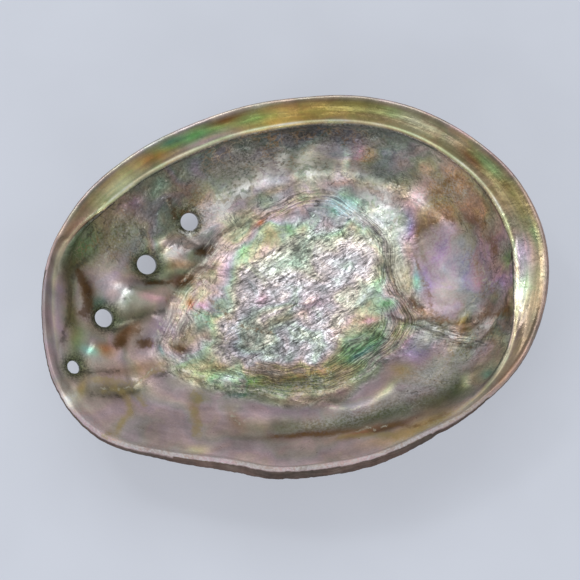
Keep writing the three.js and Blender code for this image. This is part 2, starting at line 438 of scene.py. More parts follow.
FLAKE_TURN = math.radians(24)  # direction in which the scar's flakes lie
FLAKE_LONG, FLAKE_WIDE = 4.6, 1.5


def saddles():
    """Places half way between one hole and the next, and the row's direction there in degrees."""
    for (ax, ay), (bx, by) in zip(HOLE_ROW, HOLE_ROW[1:]):
        yield ((ax + bx) / 2, (ay + by) / 2), math.degrees(math.atan2(by - ay, bx - ax))


def flakes(place):
    """The scar's flakes: a noise drawn out along one direction, in sharp ridges."""
    c, s = math.cos(FLAKE_TURN), math.sin(FLAKE_TURN)
    along = (place.x * c + place.y * s) / FLAKE_LONG
    across = (-place.x * s + place.y * c) / FLAKE_WIDE
    grain = FLAKE(np.stack([along, across, 0 * along], axis=1), 1.0, 2)
    return 1 - 2.2 * np.abs(grain)


def threads(noise, flow, across, along):
    """Uneven lines that follow a flow: a noise that is narrow across it and long along it."""
    return noise(flow / (across, along, along), 1.0, 2)


def scar_relief(place, rough):
    """The raised scar with its flakes, the bundle of layers on its border and the steps below."""
    lift = 0.7 * (1 - smooth(place.scar, -2.5, 1.2)) + 0.4 * rough
    lift += 0.16 * rough * flakes(place) + 0.14 * rough * GRAIN(place.p, 2.4, 2)
    bundle = mound(place.scar, 3.4) * place.between(-20, 200, 30)
    layers = threads(RIPPLE, place.scar_flow, 1.7, 13)
    lift += (0.2 + 0.3 * place.between(-20, 115, 40)) * bundle * layers
    steps = within(place.scar, -15, -11, 0, 3) * place.between(200, 350, 25)
    lift += 0.26 * steps * (1 - rough) * threads(SWELL, place.scar_flow, 1.9, 16)
    return lift - 0.7 * mound(place.scar - 4.5, 2) * place.between(95, 175, 25)


def spire_relief(place):
    """The spire's hollow, the corded crescent in front of it, and the pit with its torn edge."""
    lift = -1.3 * (1 - smooth(place.spire, 0.2, 1.15))
    lift -= 1.5 * within(place.whorl, -0.15, 0.6, 4, 13)
    lift += 0.7 * mound(place.whorl + 1.3, 1.4)
    cords = threads(GRAIN, np.stack([place.whorl, place.x, 0 * place.x], axis=1), 1.3, 6)
    lift += place.line(CRESCENT, 4.4) * (0.9 + 0.9 * cords)
    lift -= 2.4 * place.near(PIT, (4.2, 2.8), 25)
    torn = np.hypot(place.x - PIT[0] + 1, place.y - PIT[1] - 1) - 4.6 + 2.2 * RAGGED(place.p, 4, 2)
    return lift + (0.3 + 0.5 * RIPPLE(place.p, 3, 2)) * mound(torn, 1.6)


def hole_relief(place):
    """The dimples of the holes, the saddles between them, and the folds that run down from them."""
    lift = np.zeros(len(place.p))
    for bore in BORES:
        lift -= 1.2 * mound(np.maximum(bore.polar(place.p)[0] - bore.radius, 0), 3.4)
    for middle, turn in saddles():
        lift += 1.0 * spot(place.p[:, 0], place.p[:, 1], middle, (3.4, 4.5), turn)
        lift -= 0.6 * mound(place.row, 0.8) * place.near(middle, (5, 5))
    for points in RIBS:
        lift += 0.8 * place.line(points, 3.0)
    for points in VALLEYS:
        lift -= 0.9 * place.line(points, 2.6)
    return lift


def lip_relief(place):
    """The left flange's step, the folds along the lip, the torn layer and the boss."""
    below_ledge = 1 - smooth(place.s, 8.5, 9.3)
    lift = -0.8 * within(place.flange, -0.5, 0.7, 2.0, 6) * below_ledge
    lift += 0.45 * place.line(LIP_BULGE, 5.0) - 0.6 * place.line(LIP_TROUGH, 4.2)
    lift += 0.5 * place.line(PALE_CRESCENT, 1.5)
    layer = beside(place.x, place.y, LAYER_EDGE)
    lift += 0.35 * within(layer, -0.3, 0.5, 2, 7) * place.near((-58, -22), (22, 14))
    return lift + 1.0 * place.near(BOSS, (4.2, 3.6), 60) - 0.6 * place.near((-78, -27), (4.5, 3), 60)


def inner_waves(place):
    """Uneven waves over the whole inner skin, stronger beside the scar and on the wall."""
    wall = within(place.s, 3.2, 4.2, 6, 7) * place.ledge_side
    between = (1 - smooth(place.scar, 22, 30)) * smooth(place.scar, 1, 4) * smooth(place.y, -36, -20)
    lift = 0.45 * SWELL(place.p, 26) + 0.05 * GRAIN(place.p, 4)
    lift += (0.14 + 0.4 * between) * RIPPLE(place.p, 10)
    lift += 0.4 * wall * RIPPLE(place.p, 6, 2)
    return lift + 0.05 * (1 - place.ledge_side) * (1 - between) * threads(RIPPLE, place.rim_flow, 2.5, 30)


def inner_relief(place):
    """Height of the inner skin's relief, mm along its normal."""
    rough = 1 - smooth(place.rough, -3, 1)
    lift = scar_relief(place, rough) + spire_relief(place) + hole_relief(place)
    lift += lip_relief(place) + inner_waves(place)
    flat = smooth(place.s, 6.6, 7.4) * place.ledge_side
    lift = lift * (1 - 0.75 * flat)
    lift += 0.12 * flat * threads(RIPPLE, place.rim_flow, 2.2, 26)
    lift -= 0.3 * flat * mound(place.rim - 2.6, 0.5) * place.between(-50, 75, 30)
    floor = 1 - smooth(place.s, 4.5, 6)
    lift *= (1 - smooth(place.s, 9.3, 10)) * (floor + (1 - floor) * 0.7)
    tip = beside(place.x, place.y, LEDGE_TIP)
    under = within(tip, -0.2, 0.5, 3, 16) * smooth(place.s, 6.4, 7.4)
    lift -= 1.3 * under * (1 - smooth(place.s, 9.6, 10.4))
    for bore in BORES:
        lift -= roll(bore.polar(place.p)[0] - bore.radius, 1.7, 1.1)
    return lift


def roll(d, width, depth):
    """A rounded edge: how far the skin falls at a distance d from the hole that it rolls into."""
    t = np.clip(1 - d / width, 0, 1)
    return depth * (1 - np.sqrt(np.maximum(0, 1 - t * t)))


RIBS = [
    [(-43, 34), (-38, 30), (-30, 28)],
    [(-61, 14), (-54, 12), (-45, 10)],
    [(-75, -8), (-69, -9), (-62, -10)],
    [(-80, -20), (-72, -21), (-62, -20)],
]
VALLEYS = [
    [(-36, 37), (-31, 33), (-26, 31)],
    [(-52, 20), (-45, 18), (-38, 17)],
    [(-68, 0), (-59, 2), (-50, 5)],
    [(-78, -26), (-68, -25), (-58, -24)],
]


def knobs():
    """Place and size of each hole's knob on the outside: the open holes, then the older ones,
    filled with nacre, back along the spiral to the apex."""
    for hole in HOLES:
        yield hole[0], KNOB_SIZE
    (x, y), *_ = HOLES[0]
    start = math.atan2(y - APEX[1], x - APEX[0])
    reach = math.dist((x, y), APEX)
    for k in range(SEALED_HOLES):
        back = SEALED_STEP * (k + 1)
        scale = math.exp(-SPIRAL_RATE * back)
        x = APEX[0] + reach * scale * math.cos(start - back)
        y = APEX[1] + reach * scale * math.sin(start - back)
        yield (x, y), KNOB_SIZE * scale


FINE_LINES, BANDS, COLOUR_BANDS = 46, 11, 7  # waves of growth from the apex to the rim
CORDS = 22  # how often the spiral cords repeat in one radian


def growth(place):
    """How early a place grew, from 0 at the apex to 1 at the rim, and its spiral coordinate."""
    dx, dy = place.x - APEX[0], place.y - APEX[1]
    reach = np.maximum(np.hypot(dx, dy), 0.5)
    bearing = np.arctan2(dy, dx)
    edge = rim_from_apex(bearing)
    return reach / edge, bearing - np.log(reach) / SPIRAL_RATE


def rim_from_apex(bearing):
    """Distance from the apex to the rim in each direction in plan."""
    angle = np.linspace(0, ROUND, 721)
    r = rim_radius(angle)
    x, y = r * np.cos(angle) - APEX[0], r * np.sin(angle) - APEX[1]
    seen = np.arctan2(y, x)
    order = np.argsort(seen)
    return np.interp(bearing, seen[order], np.hypot(x, y)[order], period=ROUND)


def outer_relief(place):
    """Height of the outer skin's relief, mm along its normal."""
    age, spiral = growth(place)
    lift = -0.5 + 0.35 * SWELL(place.p, 18) + 0.12 * CRUST(place.p, 4, 3)
    under = smooth(place.s, UNDERSIDE_START - 2, UNDERSIDE_START)
    for at, size in knobs():
        lift += under * 1.8 * size / KNOB_SIZE * mound(place.from_point(at), size)
    lines = np.cos(ROUND * FINE_LINES * age + 2.2 * place.wander_x)
    bands = np.cos(ROUND * BANDS * age + 3 * place.wander_y)
    cords = np.cos(CORDS * spiral)
    old = smooth(age, 0.1, 0.3)
    lift += old * (0.12 * lines + 0.2 * bands + 0.16 * cords)
    return lift * smooth(place.s, 11.5, 13)


# ---------------------------------------------------------------- mesh


def disc_grid():
    """A square grid bent into a disc: the share of the way out and the angle of its points."""
    line = np.linspace(-1, 1, CELLS + 1)
    a, b = np.meshgrid(line, line, indexing="ij")
    wide = np.abs(a) >= np.abs(b)
    eighth = math.pi / 4
    across = np.where(a == 0, 1, a)
    upward = np.where(b == 0, 1, b)
    angle_wide = np.where(a > 0, 0, math.pi) + eighth * b / across
    angle_tall = np.where(b > 0, math.pi / 2, 3 * math.pi / 2) - eighth * a / upward
    return np.maximum(np.abs(a), np.abs(b)).ravel(), np.where(wide, angle_wide, angle_tall).ravel()


def grid_faces(first):
    """The grid's squares, and its edge anticlockwise from the corner at -45 degrees."""
    ids = first + np.arange((CELLS + 1) ** 2).reshape(CELLS + 1, CELLS + 1)
    faces = np.stack([ids[:-1, :-1], ids[1:, :-1], ids[1:, 1:], ids[:-1, 1:]], axis=-1).reshape(-1, 4)
    edge = np.concatenate([ids[-1, :-1], ids[:0:-1, -1], ids[0, :0:-1], ids[:-1, 0]])
    return faces, edge


def grid_shell():
    """The whole skin as a closed grid: each point's angle and place on the section, and faces."""
    share, angle = disc_grid()
    ring_angle = -math.pi / 4 + ROUND * np.arange(SIDES) / SIDES
    angles, places, faces = [angle], [share * FLOOR_END], []
    floor_faces, ring = grid_faces(0)
    faces.append(floor_faces)
    count = len(share)
    stops = [span + (k + 1) / rows for span, rows in ROWS.items() for k in range(rows)]
    for s in stops:
        if s == stops[-1]:
            under_faces, following = grid_faces(count)
            faces.append(under_faces[:, ::-1])
            angles.append(angle)
            places.append(SECTION_END - share * (SECTION_END - UNDERSIDE_START))
        else:
            following = count + np.arange(SIDES)
            angles.append(ring_angle)
            places.append(np.full(SIDES, s))
            count += SIDES
        quad = [ring, following, np.roll(following, -1), np.roll(ring, -1)]
        faces.append(np.stack(quad, axis=1))
        ring = following
    return np.concatenate(angles), np.concatenate(places), np.concatenate(faces)


def point_normals(points, faces):
    a, b, c, d = (points[faces[:, k]] for k in range(4))
    face = np.cross(c - a, d - b)
    total = np.zeros_like(points)
    for k in range(4):
        for axis in range(3):
            total[:, axis] += np.bincount(faces[:, k], face[:, axis], len(points))
    return total / np.maximum(np.linalg.norm(total, axis=1), 1e-9)[:, None]


def wear_edge(p, angle, s):
    """The lip's thin edge is finely notched, and chipped here and there."""
    lip = 1 - ledge_share(angle)
    at_edge = within(s, 8.6, 9.8, 11.6, 12.8)
    around_rim = np.stack([np.cos(angle), np.sin(angle), 0 * angle], axis=1) * RIM_REACH
    notches = np.abs(CHIP(around_rim, 3.4, 3)) * 0.34 + 0.5 * smooth(CHIP(around_rim, 9), 0.35, 0.8)
    waves = 0.5 * (1 + CHIP(around_rim, 21))
    inward = at_edge * (notches * (0.25 + 0.75 * lip) + 0.4 * waves)
    shift = np.stack([-np.cos(angle) * inward, -np.sin(angle) * inward, -0.35 * inward * lip], axis=1)
    return p + shift


def removed_patch(points, faces, s, bore, outside):
    """The faces of one skin that lie over a bore, and the points round them in order."""
    centre = points[faces].mean(axis=1)
    reach, _, depth = bore.polar(centre)
    same_skin = (s[faces].mean(axis=1) > EDGE_END) == outside
    gone = (reach < bore.radius) & (np.abs(depth) < BORE_DEPTH) & same_skin
    sides = {(int(f[k]), int(f[(k + 1) % 4])) for f in faces[gone] for k in range(4)}
    following = {a: b for a, b in sides if (b, a) not in sides}
    loop = [min(following)]
    while following[loop[-1]] != loop[0]:
        loop.append(following[loop[-1]])
    return gone, np.array(loop)


def spread_round(bore, rim):
    """The order of a loop's points round a bore, and their angles, kept apart from each other."""
    turn = np.unwrap(bore.polar(rim)[1])
    way = np.sign(turn[-1] - turn[0])
    gap = CLOSEST * ROUND / len(rim)
    steps = gap * np.arange(len(rim))
    ahead = np.maximum.accumulate(way * turn - steps) + steps
    behind = np.minimum.accumulate((way * turn - steps)[::-1])[::-1] + steps
    even = way * (ahead + behind) / 2
    even = np.mod(even + math.pi, ROUND) - math.pi
    order = np.argsort(even)
    return order, even[order]


def stitch(first, first_angles, second, second_angles):
    """Triangles between two closed rings of points, both in order of angle."""
    triangles = []
    i = j = 0
    n, m = len(first), len(second)
    while i < n or j < m:
        next_i = first_angles[(i + 1) % n] + ROUND * ((i + 1) // n)
        next_j = second_angles[(j + 1) % m] + ROUND * ((j + 1) // m)
        if j >= m or (i < n and next_i <= next_j):
            triangles.append((first[i % n], first[(i + 1) % n], second[j % m]))
            i += 1
        else:
            triangles.append((first[i % n], second[(j + 1) % m], second[j % m]))
            j += 1
    return triangles


def pierce(points, angle, s, faces):
    """Cuts the holes, and gives each one a wall between the two skins."""
    triangles = []
    for bore in BORES:
        rims = []
        normals = point_normals(points, faces)
        for outside in (False, True):
            gone, loop = removed_patch(points, faces, s, bore, outside)
            order, turn = spread_round(bore, points[loop])
            loop = loop[order]
            flat = points[loop] - bore.centre
            flat -= np.outer(flat @ bore.axis, bore.axis)
            away = bore.points(turn, np.zeros(len(loop)), bore.radius) - bore.centre - flat
            tilt = np.sum(away * normals[loop], axis=1) / (normals[loop] @ bore.axis)
            points[loop] += away - tilt[:, None] * bore.axis
            faces = faces[~gone]
            rims.append((loop, turn, (points[loop] - bore.centre) @ bore.axis))
        (inner, inner_turn, inner_depth), (outer, outer_turn, outer_depth) = rims
        turn = -math.pi + ROUND * (np.arange(WALL_SIDES) + 0.5) / WALL_SIDES
        top = np.interp(turn, inner_turn, inner_depth, period=ROUND)
        foot = np.interp(turn, outer_turn, outer_depth, period=ROUND)
        last, last_turn = inner, inner_turn
        for row in range(WALL_ROWS):
            share = (row + 0.5) / WALL_ROWS
            radius = bore.radius * (1 - WAIST * math.sin(math.pi * share))
            ring = len(points) + np.arange(WALL_SIDES)
            points = np.concatenate([points, bore.points(turn, top + (foot - top) * share, radius)])
            angle = np.concatenate([angle, np.full(WALL_SIDES, math.atan2(*bore.centre[1::-1]))])
            s = np.concatenate([s, np.full(WALL_SIDES, float(FLOOR_END))])
            triangles += stitch(last, last_turn, ring, turn)
            last, last_turn = ring, turn
        triangles += stitch(last, last_turn, outer, outer_turn)
    return points, angle, s, faces, triangles


# ---------------------------------------------------------------- colours

NAMED = {  # display values, 0 to 255
    "pearl": (172, 167, 156),
    "white": (238, 238, 232),
    "silver": (206, 206, 204),
    "rose": (192, 177, 181),
    "pink": (214, 176, 190),
    "lilac": (178, 166, 196),
    "mauve": (150, 132, 146),
    "slate": (104, 110, 116),
    "dark": (62, 64, 62),
    "green": (118, 158, 112),
    "pale green": (204, 222, 190),
    "teal": (92, 138, 132),
    "aqua": (176, 214, 206),
    "olive": (112, 112, 70),
    "moss": (84, 92, 60),
    "gold": (188, 168, 108),
    "tan": (168, 144, 110),
    "sand": (142, 132, 108),
    "cream": (240, 235, 206),
    "orange": (168, 118, 70),
    "brown": (104, 70, 34),
    "umber": (58, 40, 26),
}


def linear(rgb):
    c = np.asarray(rgb, float) / 255
    return np.where(c <= 0.04045, c / 12.92, ((c + 0.055) / 1.055) ** 2.4)


PATCHES = [  # colour, middle, half length and half width, direction, strength
    # upper wall, under the ledge: the dark patches are painted shade under the ledge; the white spots are
    # painted highlights, and the silver band is partly painted highlight, partly the nacre's own pale tone
    ("slate", (8, 56), (56, 7), -2, 0.75),
    ("slate", (-30, 53), (26, 7), 22, 0.45),
    ("dark", (16, 60), (46, 2.6), -4, 0.85),
    ("dark", (26, 57), (34, 3), -10, 0.7),
    ("slate", (34, 52), (18, 4), -18, 0.6),
    ("dark", (10, 57), (2.4, 3.4), 60, 0.7),
    ("dark", (-9, 54), (1.8, 3), 30, 0.6),
    ("dark", (-22, 53), (9, 3), 15, 0.45),
    ("mauve", (-28, 53), (3, 2.5), 0, 0.6),
    ("silver", (8, 50), (30, 5), 0, 0.85),
    ("white", (-3, 52), (2.5, 1.5), 30, 0.6),
    ("white", (14, 55), (3, 1.6), 10, 0.5),
    ("white", (28, 52), (1.5, 1.5), 0, 0.9),
    ("pink", (33, 51.5), (2, 3), 60, 0.7),
    ("gold", (36, 50.5), (1.8, 2.8), 60, 0.7),
    ("orange", (26, 47.5), (7, 1.2), -6, 0.35),
    ("gold", (-1, 48.5), (9, 1.3), 14, 0.45),
    ("green", (-8, 46), (5, 1.6), 25, 0.4),
    ("slate", (42, 46), (7, 4), -30, 0.5),
    # above and left of the holes
    ("tan", (-30, 47), (6, 5), 0, 0.55),
    ("brown", (-32, 44), (4, 2), 30, 0.45),
    ("olive", (-66, 32), (14, 7), 38, 0.55),
    ("green", (-74, 28), (7, 4), 50, 0.5),
    ("umber", (-79, 19), (1.6, 5), -10, 0.5),
    ("green", (-78, -5), (2.4, 6), -10, 0.5),
    ("teal", (-62, 2), (3, 1.4), -30, 0.5),
    ("silver", (-66, 20), (4, 7), -10, 0.4),
    ("moss", (-77, 22), (7, 3.4), 62, 0.75),
    ("mauve", (-53, 44), (7, 2.6), 40, 0.6),
    ("lilac", (-58, 28), (10, 2.2), 55, 0.45),
    ("slate", (-46, 41), (8, 5), 35, 0.5),
    ("teal", (-45, 47), (6, 2.5), 40, 0.35),
    ("pearl", (-54, 33), (8, 3), 45, 0.4),
    # round the holes
    ("brown", (-73, 13), (7, 2.6), 95, 1),
    ("umber", (-73, 14), (4.5, 1.5), 92, 0.8),
    ("umber", (-49, 18.6), (6.5, 1.5), 2, 0.9),
    ("brown", (-39.5, 17.5), (4, 2.6), 15, 1),
    ("umber", (-30, 30.5), (3.6, 2), 20, 0.9),
    ("brown", (-60.5, -2), (6, 2.8), 40, 1),
    ("brown", (-63.5, -6), (3.2, 2.4), 70, 1),
    ("umber", (-54.5, -7), (3.4, 2.4), -15, 0.9),
    ("orange", (-70, -9), (2.8, 3.4), 80, 0.7),
    ("moss", (-57, 4), (10, 2.4), 22, 0.75),
    ("moss", (-45, 22), (8, 2.8), 25, 0.7),
    ("teal", (-70, 9), (3, 2.2), 40, 0.55),
    ("tan", (-37, 24), (5, 2.4), 8, 0.6),
    ("green", (-39, 21), (4, 1.5), 10, 0.4),
    ("pink", (-52, 11), (5, 1.6), -8, 0.45),
    ("aqua", (-58, 9), (4, 2), 0, 0.35),
    # the white spots on the saddles between the holes, and the pale aqua spot between the last two holes,
    # are painted highlights
    ("white", (-41.5, 30.5), (2.8, 2.2), 0, 1),
    ("white", (-59.5, 12.5), (2.6, 2.8), 60, 1),
    ("white", (-62, 16), (1.6, 1.2), 50, 0.8),
    ("white", (-45.5, 34), (2.4, 0.9), 50, 0.8),
    ("aqua", (-74.5, -9.5), (2, 2.6), 70, 0.8),
    # the silver and white spots here are painted highlights, where the wall's row of glints begins
    ("silver", (-24, 42), (9, 5), 25, 0.9),
    ("white", (-20, 40.5), (3.4, 2.4), 20, 0.9),
    ("lilac", (-13, 46), (6, 3), 25, 0.3),
    ("slate", (-46, -1), (5, 7), 80, 0.3),
    ("lilac", (-51, -4), (5, 4), 80, 0.45),
    ("teal", (-50, -10), (0.9, 2.6), 10, 0.7),
    ("brown", (-44, -9.5), (3, 1.4), -20, 0.7),
    ("tan", (-58, -17), (12, 3), 8, 0.55),
    ("moss", (-66, -25), (12, 2.4), 0, 0.75),
    ("olive", (-79.5, 4), (2.6, 15), 0, 0.85),
    # left flange and lip
    ("lilac", (-86, 6), (4, 16), 0, 0.5),
    # a painted highlight on the boss
    ("white", (-83.5, -29.5), (3.2, 2.4), 60, 1),
    ("gold", (-79, -24), (3.5, 1.4), 75, 0.5),
    ("gold", (-66, -26), (5, 1.2), -40, 0.35),
    ("gold", (-66, -39), (5, 1.1), 62, 0.5),
    ("gold", (-63, -32), (4, 1.0), 100, 0.45),
    ("tan", (-41.5, -37), (9, 1.6), 95, 0.4),
    ("olive", (-40, -31), (3, 2.2), 0, 0.5),
    ("cream", (-41, -52), (4, 2), 0, 0.55),
    ("tan", (-28, -41), (2.2, 5), 20, 0.5),
    ("slate", (-55, -38), (9, 9), 0, 0.22),
    ("rose", (-62, -34), (10, 6), 20, 0.3),
    # between the scar and the lip
    # the moss bands along the lip's trough are partly its olive colour, partly painted shade in the trough
    ("moss", (20, -48), (34, 4.2), 4, 0.85),
    ("moss", (50, -43), (16, 4.6), 35, 0.8),
    ("olive", (-10, -46), (16, 2.8), -6, 0.6),
    ("brown", (-4, -50.5), (15, 1.3), -4, 0.9),
    ("orange", (14, -54), (8, 1.5), 6, 0.65),
    ("gold", (32, -56.5), (16, 3), 12, 0.6),
    ("brown", (24, -53.5), (13, 1.4), 10, 0.8),
    ("rose", (-12, -55), (20, 3.5), 0, 0.4),
    ("mauve", (-6, -40), (14, 2.4), -2, 0.4),
    ("mauve", (12, -36), (10, 2.4), 6, 0.5),
    ("silver", (16, -40.8), (10, 1.3), 6, 0.6),
    ("cream", (27, -37.5), (6, 1.3), 36, 0.6),
    ("lilac", (40, -24.5), (7, 6), 0, 0.65),
    ("mauve", (38, -18.5), (4.5, 1.6), 0, 0.7),
    ("gold", (35, -31), (4, 3), 0, 0.5),
    ("silver", (46, -32), (8, 3), 35, 0.4),
    ("cream", (55, -41), (3.4, 1.8), 50, 0.8),
    ("teal", (62, -41), (2.5, 2), 30, 0.6),
    ("rose", (64, -31), (6, 4), 50, 0.5),
    ("olive", (70, -38), (5, 3), 50, 0.5),
    # spire
    ("lilac", (59, 6), (11, 16), -8, 0.8),
    ("silver", (57, 0), (4, 7), 10, 0.7),
    ("aqua", (47.5, 6), (1.2, 6), -8, 0.8),
    ("lilac", (51.5, 5), (1.2, 7), -8, 0.5),
    ("olive", (54, 26), (4, 3), 20, 0.5),
    ("olive", (52, 16), (1.3, 7), 8, 0.5),
    ("tan", (62, 33), (11, 6), -30, 0.75),
    ("gold", (62, 33), (7, 2), -35, 0.4),
    ("orange", (67, 26), (3.4, 1.6), -30, 0.3),
    ("tan", (73, 18), (5, 10), -10, 0.5),
    ("rose", (77, 14), (2.5, 9), -10, 0.5),
    ("green", (78, 1), (1.6, 3), 0, 0.7),
    ("lilac", (74, -6), (3, 4), 0, 0.6),
    ("pink", (69, -3), (1.6, 7), -5, 0.4),
    ("olive", (58, -14), (7, 1.6), 0, 0.6),
    ("brown", (73.5, -19), (1.4, 4.5), -15, 0.9),
    ("brown", (62, -15.5), (3, 2), 25, 0.9),
    ("gold", (60, -13.5), (2.6, 1.4), 30, 0.5),
    # the white and silver spots on the crescent are painted highlights, partly its own pale tone
    ("white", (68, -18.5), (2.4, 1.8), 40, 0.7),
    ("silver", (51, -17.5), (5, 2), -38, 0.6),
    ("silver", (58, -22.5), (4, 1.6), -20, 0.6),
    ("green", (43, -12), (5, 2.6), -10, 0.5),
    ("teal", (45, -14), (3, 1.4), -20, 0.4),
    # moss below the crescent's ridge: partly olive colour, partly painted shade under the ridge
    ("moss", (64, -26), (8, 1.6), 10, 0.6),
    # between the rough patch and the scar's border
    ("pale green", (-16, 27), (3, 2.4), 45, 0.8),
    ("rose", (-22, 21), (4, 3), 50, 0.6),
    ("orange", (-7, 37), (2.2, 1.2), 35, 0.85),
    ("tan", (-5, 32), (5, 3), 20, 0.5),
    ("green", (3, 34), (1.6, 4), 0, 0.5),
    ("orange", (-37, 8), (1.3, 2.6), 10, 0.9),
    ("pink", (-33, 7), (2.6, 2), 0, 0.5),
    ("olive", (-40, -4), (5, 6), 20, 0.5),
    ("green", (-34, -1), (4, 5), 20, 0.45),
    ("tan", (-32, -6), (3, 3), 0, 0.5),
    ("aqua", (26, 39), (8, 4), -12, 0.9),
    # the white spots here are painted highlights, partly the nacre's own pale tone
    ("white", (37, 34), (7, 3.4), -20, 0.9),
    ("white", (40, 26), (3, 9), 15, 0.7),
    ("white", (1, 36), (6, 1.6), 12, 0.5),
    ("brown", (39.5, 4), (1.2, 9), 14, 0.6),
    ("pale green", (33, 5), (2.8, 2.6), 0, 0.85),
    ("green", (35, -2), (3.5, 1.8), 0, 0.7),
    ("brown", (24, -7), (5, 1.4), 8, 0.45),
    ("pink", (30, -7), (6, 1.2), 10, 0.4),
    ("green", (22, -18), (9, 3.4), 22, 0.7),
    ("teal", (20, -21), (8, 1.2), 24, 0.7),
    ("olive", (-4, -28), (24, 4), -4, 0.65),
    ("green", (-19, -25.5), (2.5, 2), 0, 0.7),
    ("teal", (-24, -31), (4, 1.3), -6, 0.8),
    ("green", (-36, -21), (8, 2), -28, 0.5),
    ("tan", (-32, -18), (5, 2), -20, 0.5),
    ("tan", (6, -25), (12, 2), 4, 0.4),
    # rough patch
    ("rose", (7, 2), (4.6, 4), 0, 0.8),
    ("tan", (-4, -2), (9, 1.6), 12, 0.5),
    ("pink", (-11, 7), (3, 2.2), 20, 0.7),
    ("pink", (15, -10), (3, 2), 0, 0.5),
    ("aqua", (0, 20), (12, 4), 15, 0.4),
    ("green", (22, 28), (7, 2.4), -10, 0.35),
    ("slate", (-14, -5), (9, 5), 20, 0.35),
    # the white spots on the rough patch are partly painted highlights of its flakes, partly its own pale
    # tone
    ("white", (28, 20), (5, 4), 20, 0.5),
    ("white", (14, 16), (8, 4), 20, 0.35),
    ("white", (-8, 8), (5, 3), 20, 0.5),
    ("white", (22, 12), (7, 5), 20, 0.4),
    ("white", (-26, -22), (5, 3), 15, 0.5),
    ("white", (14, -9), (6, 3), 15, 0.4),
    ("slate", (-22, -12), (8, 6), 20, 0.4),
    # a pale gleam near the third hole: painted highlight
    ("pearl", (-59, 7), (6, 4), 50, 0.6),
    ("moss", (-18, -29), (9, 3), 12, 0.5),
    # pale spots over the rest: the white spots and the pink spot with its white core are painted
    # highlights; the lilac strips are the nacre's colour
    ("white", (38, 33), (8, 4.5), -30, 0.6),
    ("white", (43, 27), (3, 8), 15, 0.6),
    ("lilac", (49, 23), (2.6, 8), 0, 0.95),
    ("pink", (53, 36), (3.4, 3.4), 0, 1),
    ("white", (53, 36), (2.8, 2.8), 0, 0.4),
    ("lilac", (74, 10), (2.6, 6), 0, 0.6),
    ("lilac", (75, -5), (2.6, 4), 0, 0.6),
]

LEDGE_PATCHES = [  # colour, direction, distance in from the rim, half width of both, strength
    ("tan", 150, 5, (14, 7), 0.6),
    ("pink", 157, 8, (7, 4), 0.4),
    ("pale green", 140, 8, (10, 4), 0.5),
    ("orange", 127, 6, (6, 2.4), 0.75),
    ("green", 114, 5.5, (11, 2.6), 0.9),
    ("rose", 112, 9, (10, 2), 0.6),
    ("teal", 121, 3.6, (4, 1.6), 0.6),
    ("brown", 103, 3.6, (5, 1.5), 0.95),
    ("green", 92, 5.5, (8, 2), 0.8),
    ("gold", 84, 9, (11, 2.4), 0.7),
    ("gold", 74, 5, (20, 3.6), 0.6),
    ("tan", 80, 3.6, (14, 1.6), 0.6),
    ("olive", 60, 5, (10, 3), 0.55),
    ("green", 52, 4.6, (4, 1.8), 0.45),
    ("pearl", 44, 5, (9, 4), 0.6),
    ("brown", 26, 7, (4, 2), 0.85),
    ("green", 22, 4.6, (5, 2), 0.5),
    ("brown", 15, 5, (2.4, 1.6), 0.75),
    ("olive", 8, 5, (8, 3), 0.7),
    ("green", 1, 3.4, (4, 1.6), 0.6),
    ("mauve", -3, 7, (5, 3), 0.6),
    # the silver and pale green patch is a painted highlight on the ledge
    ("silver", -13, 9.5, (6.5, 2.6), 0.8),
    ("pale green", -11, 8, (6, 2.4), 0.5),
    ("rose", -27, 8, (8, 4), 0.6),
    ("olive", -36, 7, (6, 3), 0.5),
    ("orange", -38, 1.6, (14, 1.0), 0.55),
    ("sand", -12, 3, (20, 2.4), 0.7),
    ("lilac", -2, 10, (7, 2.4), 0.4),
    ("rose", 60, 0.6, (110, 1.2), 0.7),
    ("silver", 125, 1.3, (45, 1.1), 0.6),
    ("umber", 60, 2.1, (110, 0.4), 0.4),
]

